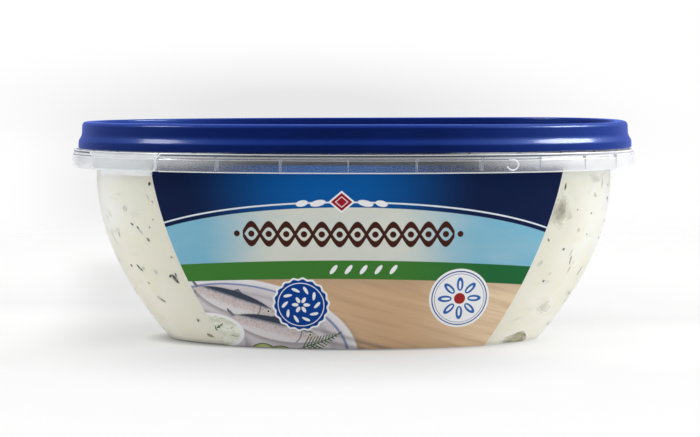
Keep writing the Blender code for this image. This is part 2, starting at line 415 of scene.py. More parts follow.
clearLook = {
    "litMilk": ((0.80, 0.805, 0.82), (0.99, 0.99, 1.0)),      # painted light: the pale colour that the right and the left end turn to
    "leftEnd": (-0.0842, 0.0014),
    "leftFade": (-0.080, 0.006),
    "roughness": 0.12,
    "shade": 0.12,                          # how much of a shadow it casts
    "outerFace": (0.974, 0.003),            # the skirt's outer face, as a share of its oval
    "upperBand": (0.0563, 0.0013),          # the skirt is hazier above this height
    # the skirt's haze towards its ends, partly real haze and partly painted light, strongest at the right
    # where the light falls: place, blur and strength, for all of it and for its upper band
    "rightLitHaze": ((0.069, 0.010, 0.9), (0.048, 0.019, 0.56)),
    "leftLitHaze": ((-0.064, 0.008, 0.5), (-0.042, 0.016, 0.3)),
    "weakLines": (0.066, 0.012),            # the dark lines are weaker beyond this
    "edgeLightTones": ((0.10, 0.12, 0.18), (0.97, 0.98, 1.0)),           # dark, bright: painted dark reflection, painted highlight
}


def skirtLook(paint, share, colour, where, cloud, lines):
    # haze towards the skirt's ends, partly real haze and partly painted light, and the painted highlights and
    # dark reflections that its edges show
    look = clearLook
    x, y, z = where
    power = packForm["squareness"]
    along, deep = abs(x) / (packForm["halfLength"] * mm), abs(y) / (packForm["halfWidth"] * mm)
    outer = (along.power(power) + deep.power(power)).above(*look["outerFace"])
    upper = 0.25 + 0.75 * z.above(*look["upperBand"])
    for side, beyond in (("rightLitHaze", x.above), ("leftLitHaze", x.below)):
        (place, blur, strength), (upperPlace, upperBlur, upperStrength) = look[side]
        share = share + beyond(place, blur) * strength
        share = share + beyond(upperPlace, upperBlur) * upper * upperStrength
    height = z * (1.0 / mm) + cloud * 0.05
    # painted highlights and dark reflections along the skirt's edges
    for level, half, strength, bright in lines:
        line = (height - level).between(-half, half, 0.05) * outer
        if not bright:
            line = line * (1.0 - 0.6 * x.above(*look["weakLines"]))
        share = share + line * strength
        colour = paint.mix(line, colour, look["edgeLightTones"][bright])
    return share, colour


def clearPaint(name, haze, lines=(), tint=(0.88, 0.895, 0.915), edge=0.75, body=(0.975, 0.985, 1.0),
               fade=(0.080, 0.008, 0.85), edgeEnd=(0.070, 0.012)):
    # haze: how milky it is straight on; lines: painted highlights and dark reflections on the skirt, as
    # (height, half width, share, brightness);
    # fade: where, how softly and how far it clears at the right end, where the photo's light washes it out;
    # edgeEnd: where its edges clear too
    look = clearLook
    paint = Paint(name)
    where = paint.place()
    cloud = paint.noise(where, 160.0, 3.0)
    facing = paint.node("ShaderNodeLayerWeight", None, {"Blend": 0.5}, out="Facing")
    x, y, z = paint.parts(where)
    share = edge * (1.0 - abs(x).above(*edgeEnd)) * facing * (0.35 + 0.65 * facing * facing)
    share = share + haze * (0.6 + cloud * 0.8)
    # painted light: at the two ends it is painted milky and pale for the light from beyond, without a gloss
    clearFrom, blur, farthest = fade
    rightEnd, leftEnd = x.above(clearFrom, blur), x.below(*look["leftEnd"])
    ends = rightEnd | leftEnd
    share = share + leftEnd * 0.4
    rightLitMilk, leftLitMilk = look["litMilk"]
    colour = paint.mix(leftEnd * 0.6, paint.mix(rightEnd, tint, rightLitMilk), leftLitMilk)
    if lines:
        share, colour = skirtLook(paint, share, colour, (x, y, z), cloud, lines)
    plastic = paint.body({
        "Base Color": colour,
        "Roughness": look["roughness"] + cloud * 0.08 + ends * 0.6,
        "IOR": 1.49,
        "Specular IOR Level": 0.9,
        "Coat Weight": (1.0 - ends) * 0.8,
        "Coat Roughness": 0.06,
        "Coat IOR": 1.9,
        "Normal": paint.bump(cloud, 0.00002, 0.3),
    })
    share = (share & 1.0) * (1.0 - farthest * rightEnd) * (1.0 - 0.3 * x.below(*look["leftFade"]))
    share = share * (1.0 - (1.0 - look["shade"]) * paint.ray("Shadow"))
    return paint.finish(paint.blend(share, paint.clear(body), plastic))


def saucePaint():
    look = {
        "cream": (0.835, 0.828, 0.735),
        "pale": (0.895, 0.895, 0.845),
        "white": (0.88, 0.89, 0.885),
        "grey": (0.47, 0.48, 0.41),
        "warm": (0.80, 0.72, 0.52),
        "front": (0.72, 0.708, 0.585),      # painted shade: where it faces front or back, painted darker as less light falls there
        "olive": (0.22, 0.20, 0.09),
        "foot": (0.0011, 0.0007),           # painted shade: the olive darkening along its foot: up to which height, how softly
        "fishCloud": (0.0075, 0.006),       # the dull patch round the upper fish: how wide, how softly
    }
    paint = Paint("dillSauce")
    where = paint.place()
    cloud = paint.noise(where, 55.0, 4.0, 0.55)
    blotch = paint.noise(where, 130.0, 2.0, 0.5)
    stretched = paint.node("ShaderNodeMapping", None, {
        "Vector": where, "Rotation": (0.3, 0.5, 0.9), "Scale": (1.0, 1.0, 2.2)})
    sunk = paint.noise(stretched, 120.0, 3.0, 0.5)
    height = paint.parts(where)[2]
    low = height.below(0.018, 0.02)
    drawn = paint.node("ShaderNodeMapping", None, {"Vector": where, "Scale": (1.0, 1.0, 0.3)})
    streak = paint.noise(drawn, 75.0, 2.0, 0.5)
    foot = (height + (blotch - 0.5) * 0.001).below(*look["foot"])
    pale = paint.mix(height.above(0.032, 0.02), look["pale"], look["white"])
    colour = paint.mix(cloud.above(0.50, 0.18) | height.above(0.050, 0.02) * 0.7, look["cream"], pale)
    colour = paint.mix(blotch.above(0.66, 0.09) * 0.3 + low * 0.24, colour, look["warm"])
    colour = paint.mix(streak.above(0.56, 0.1) * 0.22, colour, look["warm"])
    colour = paint.mix(sunk.above(0.69, 0.09) * 0.5, colour, look["grey"])
    # painted shade: darker where it faces front or back, and an olive darkening along its foot
    _, facing, rise = paint.normal()
    colour = paint.mix(abs(facing).above(0.71, 0.13) * (0.45 + cloud * 0.5), colour, look["front"])
    colour = paint.mix(foot * rise.above(-0.6, 0.2) * 0.75, colour, look["olive"])
    fish = biteForms["herring_upper"]
    centre = ovalPlace(math.radians(fish["angle"]), wallInset(fish["height"]), fish["height"])
    around = paint.node("ShaderNodeVectorMath", {"operation": "DISTANCE"}, {0: where, 1: centre}, out=1)
    cloudy = (around + (blotch - 0.5) * 0.004).below(*look["fishCloud"])
    colour = paint.mix(cloudy * 0.5, colour, look["front"])
    return paint.finish(paint.body({
        "Base Color": colour,
        "Roughness": 0.34 + cloud * 0.1,
        "Specular IOR Level": 0.25,
        "Subsurface Weight": 0.35,
        "Subsurface Radius": (0.004, 0.0034, 0.0022),
        "Subsurface Scale": 1.0,
        "Normal": paint.bump(cloud + blotch * 0.4, 0.0002, 0.4),
    }))


def dillPaint(name, first, second, veil):
    # veil: how much sauce lies over it
    sauceOver = (0.76, 0.76, 0.66)
    paint = Paint(name)
    where = paint.place()
    colour = paint.mix(paint.noise(where, 260.0, 1.0).above(0.5, 0.1), first, second)
    cover = paint.noise(where, 700.0, 2.0).above(0.62 - 0.4 * veil, 0.25)
    colour = paint.mix(cover * (0.35 + 0.5 * veil), colour, sauceOver)
    return paint.finish(paint.body({
        "Base Color": colour, "Roughness": 0.45 + cover * 0.1, "Specular IOR Level": 0.2}))


def softBite(name, place, reach, deep, light, rind):
    # a piece in the sauce: plain in its middle, lost in the cream towards its edge
    paint = Paint(name)
    where = paint.place()
    x, y, z = paint.parts(where)
    grain = paint.noise(where, 330.0, 3.0)
    veil = paint.noise(where, 260.0, 3.0)
    wide, tall = reach
    side = ((x - place.x).square() + (y - place.y).square()) / (wide * wide)
    away = (side + (z - place.z).square() / (tall * tall)).root()
    cover = (away + (veil - 0.5) * 1.2).above(0.64, 0.40)
    colour = paint.mix(grain.above(0.5, 0.12), deep, light)
    edge = (away - 0.12 * (z - place.z) / tall).between(0.42, 0.8, 0.16)
    colour = paint.mix(edge * 0.8, colour, rind)
    flesh = paint.body({
        "Base Color": colour, "Roughness": 0.35 + grain * 0.1, "Specular IOR Level": 0.25,
        "Normal": paint.bump(grain, 0.0002, 0.4)})
    # it neither shades the sauce nor darkens it
    share = cover | paint.ray("Shadow") | paint.ray("Diffuse")
    return paint.finish(paint.blend(share, flesh, paint.clear()))


# the lid

lidForm = {
    "bottom": 60.25,
    "top": 68.5,
    "lean": 0.12,           # degrees: it is pressed on a little lower at the left end
    "aside": 0.5,           # and sits a little to the right
    "warp": 0.4,            # how far its right end is twisted up at the back
    "warpReach": (62.0, 46.0),      # the length and width over which it reaches that
    "inset": 1.55,
    "thick": 1.1,
    "bevel": (2.35, 4.15),          # its lower and upper line, above the bottom edge
    "bevelInset": 1.1,
    "panel": 65.4,
    "crestOuter": 3.9,
    "crestInner": 7.4,
    "panelReach": 24.0,     # how far in the spun part of the panel goes
    "panelStep": 0.45,      # a shallow step inside the crest, for stacking
    "stepPlace": (6.0, 6.8),        # where it starts and ends, in from the crest
    "stepShift": 0.2,       # how much of that the underside gives away
}


def makeLid(material):
    form = lidForm
    bottom, top, inset, thick = (form[key] for key in ("bottom", "top", "inset", "thick"))
    inner, panel, reach, step = (form[key] for key in ("crestInner", "panel", "panelReach", "panelStep"))
    low, high = (bottom + rise for rise in form["bevel"])
    upper = inset + form["bevelInset"]
    stepFrom, stepTo = (inner + place for place in form["stepPlace"])
    under = [
        (reach, panel - step - thick),
        (stepTo - form["stepShift"], panel - step - thick, 0.5),
        (stepFrom - form["stepShift"], panel - thick, 0.5),
        (inner - 1.0, panel - thick, 0.8),
        (inner - 1.7, top - thick, 0.9),
        (upper + thick + 0.5, top - thick, 0.9),
        (upper + thick, high - 0.3, 0.8),
        (inset + thick + 0.05, low - 0.1, 0.8),
        (inset + thick, bottom + 0.15, 0.15),
        (inset + thick - 0.15, bottom),
    ]
    outer = [
        (inset + 0.25, bottom, 0.25),
        (inset, bottom + 0.4, 0.3),
        (inset + 0.05, low, 0.45),
        (upper, high, 0.8),
        (upper + 0.15, top - 0.75, 0.7),
        (form["crestOuter"] - 0.35, top, 0.5),
        (inner - 0.6, top, 0.6),
        (inner - 0.1, panel, 0.9),
        (stepFrom, panel, 0.5),
        (stepTo, panel - step, 0.5),
        (reach, panel - step),
    ]
    lid = spunOval("lid_shell", roundedLine(under + outer, 5))
    closeEnds(lid)
    warpLength, warpWidth = form["warpReach"]
    for corner in lid.data.vertices:
        x, y, z = corner.co / mm
        share = (max(0.0, x) / warpLength) ** 2 * y / warpWidth * (z - bottom) / (top - bottom)
        corner.co.z += form["warp"] * share * mm
    lid.location.x = form["aside"] * mm
    lid.rotation_euler.y = -math.radians(form["lean"])
    return dress(lid, material, ["lid"])


# the clear tub

tubForm = {
    "recess": 1.2,          # how high the base's middle lies
    "footEdge": 0.9,        # the ring it stands on starts this far in from the wall
    "footWidth": 3.2,
    "footThick": 0.4,
    "floorTop": 1.7,
    "wallRows": (2.0, 1.6, 32),     # heights along the wall: the first, their pace and how many
    "skirtBottom": 54.45,
    "flangeTop": 59.98,
    "flangeThick": 1.0,
    "skirtThick": 1.1,
    "shoulder": 58.25,      # the skirt steps in here
    "shoulderInset": 0.6,
    "collarInset": 4.6,     # the collar stands inside the lid
    "collarTop": 66.9,
    "collarThick": 1.0,
    "bead": 0.5,            # the snap bead on the collar
    "beadRise": (1.7, 2.5, 3.3),    # its foot, ridge and top, above the flange
}

ribForm = {
    "places": 28,
    "wide": 0.62,
    "deep": 0.9,
    "proud": 0.03,
    "bottom": 55.1,
    "taper": 0.3,           # how narrow its foot is
    "spread": 0.6,          # degrees by which it may stand off its even place
}
tabForm = {
    "fromPlace": -5,        # the tab takes the place of three ribs
    "toPlace": -3,
    "from": -61.9,          # degrees round the rim
    "to": -40.0,
    "slot": 0.55,
    "proud": 0.4,
    "thick": 0.55,
    "bottom": 54.3,
    "top": 59.6,
    "panelTop": 58.5,       # the sunk panel ends here, below the flange's own lines
    "corner": 2.1,
    "border": 0.3,
    "sunk": 0.12,
    "notch": (1.5, 0.26),   # the V where the flange dips at both slots: length and width of its arms
    "notchTurn": 42.0,      # degrees from upright
    "notchPlace": (0.45, 59.1),     # how far each arm stands from the slot, and how high
    "lipBottom": 53.0,
    "lipInset": 2.4,
    "lipThick": 0.9,
    "lipShort": 4.2,        # it ends this far before the tab at the right
}


def wallSection(inside, heights):
    return [(wallInset(height, inside), height) for height in heights]


def floorEdge():
    # how far in from the skirt the foot ring ends
    return wallInset(0.0) + tubForm["footEdge"] + tubForm["footWidth"]


def makeTubShell(material):
    form = tubForm
    wall, top, collarThick = packForm["wall"], packForm["wallInset"], form["collarThick"]
    foot, step = wallInset(0.0), floorEdge()
    under = form["flangeTop"] - form["flangeThick"]
    thick, flangeTop, collar = form["skirtThick"], form["flangeTop"], form["collarInset"]
    beadFoot, beadRidge, beadTop = (flangeTop + rise for rise in form["beadRise"])
    first, pace, count = form["wallRows"]
    heights = [first + pace * k for k in range(count)] + [packForm["curveTop"] + 0.6]
    outside = [
        (step + 1.2, form["recess"]),
        (step + 0.3, form["recess"], 0.5),
        (step - 0.5, 0.0, 0.6),
        (foot + form["footEdge"] - 0.55, 0.0, 0.5),
    ]
    outside += wallSection(0.0, heights)
    outside += [
        (top, under, 0.5),
        (thick - 0.15, under),
        (thick - 0.15, flangeTop - 0.2),
        (thick + 0.2, flangeTop, 0.1),
        (collar, flangeTop, 0.3),
        (collar, beadFoot, 0.5),
        (collar - form["bead"], beadRidge, 0.5),
        (collar, beadTop, 0.5),
        (collar, form["collarTop"], 0.4),
        (collar + collarThick, form["collarTop"], 0.4),
        (collar + collarThick, flangeTop + 0.5, 0.5),
        (top + wall, flangeTop - 0.1, 0.5),
    ]
    inside = wallSection(wall, reversed(heights[1:]))
    inside += [
        (wallInset(form["footThick"], wall), form["footThick"], 0.8),
        (step - 0.1, form["footThick"], 0.5),
        (step + 0.9, form["floorTop"], 0.5),
        (step + 3.0, form["floorTop"]),
    ]
    shell = spunOval("tub_shell", roundedLine(outside + inside))
    closeEnds(shell)
    return dress(shell, material, ["tub"])


def ribAngle(place):
    angle = 2 * math.pi * place / ribForm["places"]
    lean = math.sin(2 * angle)
    return angle + math.radians(ribForm["spread"]) * lean * abs(lean)


def rimBent(piece, middleAngle, perDegree):
    # a flat piece, X along the rim, Y inward from the skirt and Z up, is bent round the rim
    for corner in piece.data.vertices:
        x, y, z = corner.co / mm
        corner.co = ovalPlace(middleAngle + math.radians(x / perDegree), y, z)


def rimPace(angle):
    # millimetres of rim for each degree, at an angle
    return ovalRun(angle, 0.0, packForm["curveTop"]).length / mm * math.radians(1)


def flatBlock(name, low, high):
    bpy.ops.mesh.primitive_cube_add(size=1.0)
    block = bpy.context.object
    block.name = name
    for corner in block.data.vertices:
        corner.co = Vector([(low[k] if corner.co[k] < 0 else high[k]) * mm for k in range(3)])
    return block


def softenEdges(piece, width, steps, test=None):
    editAll(piece)
    if test:
        pick(piece, "edges", test)
    bpy.ops.mesh.bevel(offset=width * mm, segments=steps, affect="EDGES")
    leaveEdit()


def atFoot(edge, bottom):
    return all(corner.co.z < (bottom + 0.1) * mm for corner in edge.verts)


def runsInward(edge):
    return abs(edge.verts[0].co.y - edge.verts[1].co.y) > 0.01 * mm


def cutAcross(piece, low, high, count):
    # bisects a flat piece into strips along X, so that it can bend
    editAll(piece)
    for k in range(1, count):
        x = low + (high - low) * k / count
        bpy.ops.mesh.select_all(action="SELECT")
        bpy.ops.mesh.bisect(plane_co=(x * mm, 0, 0), plane_no=(1, 0, 0))
    leaveEdit()


def makeRibs(material):
    form = ribForm
    under = tubForm["flangeTop"] - tubForm["flangeThick"]
    half, places = 0.5 * form["wide"], form["places"]
    back = tubForm["skirtThick"] + form["deep"]
    ribs = []
    for place in range(places):
        signed = place - places if place > places / 2 else place
        if tabForm["fromPlace"] <= signed <= tabForm["toPlace"]:
            continue
        rib = flatBlock(f"rib_{place}", (-half, -form["proud"], form["bottom"]), (half, back, under + 0.1))
        for corner in rib.data.vertices:
            if corner.co.z < (form["bottom"] + 0.9) * mm:
                corner.co.x *= form["taper"]
        rimBent(rib, ribAngle(place), rimPace(ribAngle(place)))
        ribs.append(rib)
    joined = joinAll(ribs[0], ribs[1:])
    joined.name = "tub_ribs"
    return dress(joined, material, ["tub"])


def makeTab(material, edge):
    # the tear-off tab with its sunk panel, the lip behind it and the notches beside it
    form = tabForm
    low, high = math.radians(form["from"]), math.radians(form["to"])
    middle, pace = 0.5 * (low + high), rimPace(0.5 * (low + high))
    half = 0.5 * math.degrees(high - low) * pace
    tab = flatBlock("tub_tab", (-half, -form["proud"], form["bottom"]), (half, form["thick"], form["top"]))
    softenEdges(tab, form["corner"], 6, lambda e: atFoot(e, form["bottom"]) and runsInward(e))
    tab.data.materials.append(material)
    tab.data.materials.append(edge)
    editAll(tab)
    bpy.ops.mesh.bisect(plane_co=(0, 0, form["panelTop"] * mm), plane_no=(0, 0, 1))
    pick(tab, "faces", lambda f: f.normal.y < -0.9 and f.calc_center_median().z < form["panelTop"] * mm)
    bpy.ops.mesh.inset(thickness=form["border"] * mm)
    bpy.ops.mesh.extrude_region_move(TRANSFORM_OT_translate={"value": (0, form["sunk"] * mm, 0)})
    cage = bmesh.from_edit_mesh(tab.data)
    for face in cage.faces:
        face.material_index = 0 if face.select or face.normal.y > 0.9 else 1
    bmesh.update_edit_mesh(tab.data)
    leaveEdit()
    cutAcross(tab, -half, half, 30)
    rimBent(tab, middle, pace)
    lipFront, lipTop = form["lipInset"], tubForm["flangeTop"] - 0.5
    lip = flatBlock("tab_lip", (-half + 0.6, lipFront, form["lipBottom"]),
                    (half - form["lipShort"], lipFront + form["lipThick"], lipTop))
    softenEdges(lip, 0.3, 3, lambda e: atFoot(e, form["lipBottom"]))
    lip.data.materials.append(edge)
    cutAcross(lip, -half, half, 20)
    rimBent(lip, middle, pace)
    slots = form["from"] - 0.5 * form["slot"], form["to"] + 0.5 * form["slot"]
    arms = [makeNotchArm(angle, lean, edge) for angle in slots for lean in (-1, 1)]
    joinAll(tab, [lip] + arms)
    return dress(tab, material, ["tub"])


def makeNotchArm(angle, lean, edge):
    form = tabForm
    long, wide = form["notch"]
    aside, height = form["notchPlace"]
    arm = flatBlock("notch_arm", (-0.5 * wide, -0.35, -0.5 * long), (0.5 * wide, 0.3, 0.5 * long))
    softenEdges(arm, 0.1, 2)
    turned = math.radians(form["notchTurn"] * lean)
    for corner in arm.data.vertices:
        x, _, z = corner.co
        corner.co.x = x * math.cos(turned) + z * math.sin(turned) + lean * aside * mm
        corner.co.z = z * math.cos(turned) - x * math.sin(turned) + height * mm
    arm.data.materials.append(edge)
    rimBent(arm, math.radians(angle), rimPace(math.radians(angle)))
    return arm


loopForm = {
    "angle": 32.6,
    "height": 56.85,
    "size": (1.75, 1.5),
    "thick": 0.13,
    "open": (95, 195),      # degrees between which the ring is open
    "barEnds": (-1.2, 1.0),
    "barDepth": (-0.1, 0.15),
    "barRise": (-0.1, 0.12),        # against the ring's top
}


def makeLoop(material):
    # the small hook-shaped mark that the mould's gate leaves on the skirt
    form = loopForm
    wide, tall = form["size"]
    bpy.ops.mesh.primitive_torus_add(major_radius=mm, minor_radius=form["thick"] * mm, major_segments=48,
                                     minor_segments=8, rotation=(math.radians(90), 0, 0))
    loop = bpy.context.object
    loop.name = "skirt_gate_mark"
    bpy.ops.object.transform_apply(rotation=True)
    editAll(loop)
    start, end = form["open"]

    def inGap(face):
        middle = face.calc_center_median()
        return start < math.degrees(math.atan2(middle.z, middle.x)) % 360 < end

    pick(loop, "faces", inGap)
    bpy.ops.mesh.delete(type="FACE")
    bpy.ops.mesh.select_all(action="SELECT")
    bpy.ops.mesh.region_to_loop()
    bpy.ops.mesh.fill_holes(sides=0)
    leaveEdit()
    for corner in loop.data.vertices:
        x, y, z = corner.co / mm
        corner.co = Vector((x * wide, y, z * tall + form["height"])) * mm
    ends, depth = form["barEnds"], form["barDepth"]
    rise = [form["height"] + tall + z for z in form["barRise"]]
    bar = flatBlock("gate_bar", (ends[0], depth[0], rise[0]), (ends[1], depth[1], rise[1]))
    joinAll(loop, [bar])
    angle = math.radians(form["angle"])
    rimBent(loop, angle, rimPace(angle))
    return dress(loop, material, ["tub"])


def joinAll(first, others):
    workOn(first)
    for other in others:
        other.select_set(True)
    bpy.ops.object.join()
    return first


# painted light on the skirt: bright lines are painted highlights and dark lines painted dark reflections
# along its edges, each with height, half width, share and whether it is bright
skirtLightLines = [
    (59.85, 0.14, 0.6, True), (59.43, 0.25, 0.34, False), (58.87, 0.22, 0.3, True),
    (58.45, 0.13, 0.42, False), (58.17, 0.1, 0.25, True), (54.68, 0.17, 0.6, True),
]


def makeSkirt(material):
    # a ring hung over the flange's edge, cut through on both sides of the tab
    form = tubForm
    thick, low, top = form["skirtThick"], form["skirtBottom"], form["flangeTop"]
    ring = roundedLine([
        (thick + 0.02, top - 0.35),
        (thick, low, 0.52),
        (0.0, low, 0.52),
        (0.0, form["shoulder"], 0.2),
        (form["shoulderInset"], form["shoulder"] + 0.2, 0.2),
        (form["shoulderInset"], top, 0.4),
        (thick + 0.1, top - 0.02),
    ])
    skirt = spunOval("tub_skirt", ring + ring[:1])
    faceOutward(skirt)
    combine(skirt, makeSlots(), "DIFFERENCE")
    return dress(skirt, material, ["tub"])


def makeSlots():
    form = tabForm
    thick = tubForm["skirtThick"]
    low, high = form["from"], form["to"]
    spans = [
        (low - form["slot"], low, tubForm["flangeTop"] + 0.5),
        (high, high + form["slot"], tubForm["flangeTop"] + 0.5),
        (low - 0.1, high + 0.1, form["bottom"] + 0.3),
    ]
    cutters = []
    for k, (start, end, top) in enumerate(spans):
        middle = math.radians(0.5 * (start + end))
        pace = rimPace(middle)
        half = 0.5 * (end - start) * pace
        cutter = flatBlock(f"slot_{k}", (-half, -1.5, tubForm["skirtBottom"] - 1.0), (half, thick + 0.2, top))
        cutAcross(cutter, -half, half, 2 if k < 2 else 24)
        rimBent(cutter, middle, pace)
        cutters.append(cutter)
    return cutters


def collectionOf(name, pieces):
    made = bpy.data.collections.new(name)
    bpy.context.scene.collection.children.link(made)
    for piece in pieces:
        for old in list(piece.users_collection):
            old.objects.unlink(piece)
        made.objects.link(piece)
    return made


def combine(piece, others, operation):
    # joins to or cuts from a piece all the others at once, which are then gone
    group = collectionOf(f"{piece.name}_{operation.lower()}", others)
    change = piece.modifiers.new(operation, "BOOLEAN")
    change.operation = operation
    change.solver = "EXACT"
    change.operand_type = "COLLECTION"
    change.collection = group
    applyAll(piece)
    for other in others:
        bpy.data.objects.remove(other)
    bpy.data.collections.remove(group)


# the sauce, up to its level, a little into the wall so that no air shows

sauceForm = {
    "level": 55.0,
    "intoWall": 0.12,
    "rows": 40,             # steps up the wall
    "rings": 22,            # and inward over the top
    "ringPace": 2.0,
    "around": 192,
    "wave": 0.35,           # how uneven its top is
    "waveReach": (80.0, 46.0, 0.97),        # the oval that the waves keep to
}


def makeSauce(material):
    form = sauceForm
    inside = packForm["wall"] - form["intoWall"]
    low, floor = (tubForm[key] - form["intoWall"] for key in ("footThick", "floorTop"))
    step, level = floorEdge(), form["level"]
    heights = [low + 0.8 + (level - low - 1.2) * k / form["rows"] for k in range(form["rows"] + 1)]
    section = [(step + 12.0, floor), (step + 0.9, floor, 0.5), (step - 0.1, low, 0.5)]
    section += [(wallInset(low, inside), low, 0.7)]
    section += wallSection(inside, heights)
    section += [(wallInset(level, inside + 0.25), level + 0.3)]
    section += [(wallInset(level, inside + 1.0 + form["ringPace"] * k), level) for k in range(form["rings"])]
    sauce = spunOval("sauce_filling", roundedLine(section), form["around"])
    halfLength, halfWidth, calm = form["waveReach"]
    for corner in sauce.data.vertices:
        x, y, z = corner.co / mm
        if z > level - 0.05 and math.hypot(x / halfLength, y / halfWidth) < calm:
            wave = math.sin(x * 0.21 + 1.3 * math.sin(y * 0.17)) * math.cos(y * 0.26 + 0.8)
            corner.co.z += form["wave"] * wave * mm
    closeEnds(sauce)
    return dress(sauce, material, ["sauce"], 60)


# the pieces of fish and gherkin that show through the wall

biteForms = {
    "herring_upper": {"angle": 51.4, "height": 41.9, "turn": 14.0, "size": (12.5, 13.0, 15.0),
                      "reach": (5.2, 5.6), "deep": (0.27, 0.26, 0.20), "light": (0.44, 0.425, 0.34),
                      "rind": (0.52, 0.51, 0.42),
                      "node": "herring_bite_upper", "slot": "herring_flesh"},
    "herring_lower": {"angle": 62.6, "height": 11.0, "turn": -28.0, "size": (11.0, 6.0, 14.0),
                      "reach": (3.4, 1.9), "deep": (0.58, 0.57, 0.48), "light": (0.70, 0.69, 0.60),
                      "rind": (0.72, 0.71, 0.61),
                      "node": "herring_bite_lower", "slot": "herring_flesh"},
    "gherkin": {"angle": 57.9, "height": 1.8, "turn": -19.0, "size": (9.2, 3.8, 9.0),
                "reach": (6.8, 3.5), "deep": (0.26, 0.25, 0.14), "light": (0.45, 0.43, 0.29),
                "rind": (0.11, 0.095, 0.025),
                "node": "gherkin_piece", "slot": "gherkin"},
}


def insetOf(place):
    # how far in from the skirt's oval a place lies, by halving
    low, high = -2.0, 50.0
    for _ in range(26):
        inset = 0.5 * (low + high)
        halfLength, halfWidth, squareness = ovalForm(inset, place.z / mm)
        across, deep = abs(place.x) / mm / halfLength, abs(place.y) / mm / halfWidth
        if across ** squareness + deep ** squareness > 1.0:
            high = inset
        else:
            low = inset
    return 0.5 * (low + high)


def pressOnWall(piece, inside, lowest):
    # what would stick through the wall or the floor lies flat against it
    for corner in piece.data.vertices:
        corner.co.z = max(corner.co.z, lowest * mm)
        height = corner.co.z / mm
        limit = wallInset(height, inside)
        if insetOf(corner.co) < limit:
            angle = ovalAngle(corner.co, limit)
            corner.co = ovalPlace(angle, limit, height)


def ovalAngle(place, inset):
    angle = math.asin(min(1.0, abs(place.x) / mm / (packForm["halfLength"] - inset)))
    return math.copysign(math.pi - angle if place.y > 0 else angle, place.x)


def makeBite(name, form, seed):
    angle, height = math.radians(form["angle"]), form["height"]
    wide, tall, deep = form["size"]
    inward = 0.35 * deep
    heading = ovalRun(angle, wallInset(height), height, 0.02)
    bpy.ops.mesh.primitive_cube_add(size=1.0)
    bite = bpy.context.object
    bite.name = name
    editAll(bite)
    bpy.ops.transform.resize(value=(wide * mm, deep * mm, tall * mm))
    bpy.ops.mesh.subdivide(number_cuts=3)
    leaveEdit()
    rounding = bite.modifiers.new("Rounding", "SUBSURF")
    rounding.levels = rounding.render_levels = 2
    applyAll(bite)
    rng = random.Random(seed)
    phase = [rng.uniform(0, 6) for _ in range(3)]
    for corner in bite.data.vertices:
        x, y, z = corner.co / mm
        swell = 1.06 + 0.07 * math.sin(x * 0.9 + phase[0]) + 0.06 * math.sin(z * 1.1 + y * 0.5 + phase[1])
        corner.co = Vector((x * swell, y, z * swell + 0.3 * math.sin(y * 0.6 + phase[2]))) * mm
    workOn(bite)
    bite.rotation_euler = (0, math.radians(form["turn"]), math.atan2(heading.y, heading.x))
    bite.location = ovalPlace(angle, wallInset(height, inward), height)
    bpy.ops.object.transform_apply(location=True, rotation=True, scale=True)
    inside = packForm["wall"] - sauceForm["intoWall"] - 0.06
    pressOnWall(bite, inside, tubForm["footThick"])
    middle = ovalPlace(angle, wallInset(height), height)
    reach = [size * mm for size in form["reach"]]
    material = softBite(name, middle, reach, form["deep"], form["light"], form["rind"])
    return dress(bite, material, [form["node"]], 50)


# dill flecks where the sauce lies against the wall

fleckForm = {
    "proud": 0.05,
    "thick": 0.12,
    "size": (1.15, 1.7),     # length and width, against the lists below
    "halo": (1.25, 2.0),     # the cloudy patch round a dark fleck, against the fleck
    "haloFrom": 1.0,         # only flecks longer than this have one
    "lowest": 2.4,
    "highest": 54.6,
    "loose": 170,            # scattered over the rest of the clear wall
    "lengths": (0.6, 0.8, 1.0, 1.3, 1.8, 2.6),
    "looseHeights": (3.0, 54.0),
    "charted": (40, 76),     # degrees to both sides where the lists below hold the photo's own
    "seed": 41,
}

# flecks that can be told apart: angle, height, length, width, turn, bend
darkFlecks = [
    (-57.3, 37.8, 1.0, 0.42, -35, 0.1), (-55.0, 36.8, 0.9, 0.45, -50, 0.0), (-51.9, 33.3, 1.2, 0.5, -45, 0.2),
    (-66.5, 24.3, 0.8, 0.5, -65, 0.0), (-61.4, 23.9, 2.1, 0.5, -48, 0.1), (-48.4, 22.2, 1.3, 0.42, 35, 0.2),
    (-46.9, 21.3, 2.5, 0.75, -68, 0.2), (-46.2, 22.6, 1.1, 0.5, 80, 0.0), (-58.2, 13.8, 1.5, 0.42, -28, 0.1),
    (-46.9, 8.0, 1.1, 0.42, 55, 0.1), (-48.2, 50.4, 1.0, 0.55, 70, 0.1), (52.8, 49.6, 1.7, 0.42, 79, 0.1),
    (57.0, 30.4, 0.7, 0.5, 10, 0.0), (53.8, 20.6, 0.65, 0.5, 20, 0.0), (66.6, 41.0, 0.5, 0.35, 40, 0.0),
]
oliveFlecks = [
    (-66.4, 34.3, 1.3, 0.32, 78, 0.1), (-45.2, 28.2, 0.7, 0.5, 20, 0.0), (-47.6, 45.0, 0.8, 0.3, -65, 0.0),
    (-50.2, 37.2, 0.5, 0.4, 0, 0.0), (-48.3, 39.6, 0.45, 0.35, 0, 0.0), (58.9, 42.4, 0.5, 0.3, 30, 0.0),
    (62.8, 26.6, 2.4, 0.32, -72, 0.25), (64.2, 23.7, 1.6, 0.3, 86, 0.1), (73.8, 22.6, 2.5, 0.35, 76, -0.1),
    (49.8, 33.6, 1.1, 0.32, -48, 0.1), (67.0, 34.5, 0.4, 0.3, 0, 0.0), (-60.5, 19.2, 0.8, 0.4, -30, 0.0),
    (-46.0, 2.9, 1.8, 0.9, -20, 0.2),
]
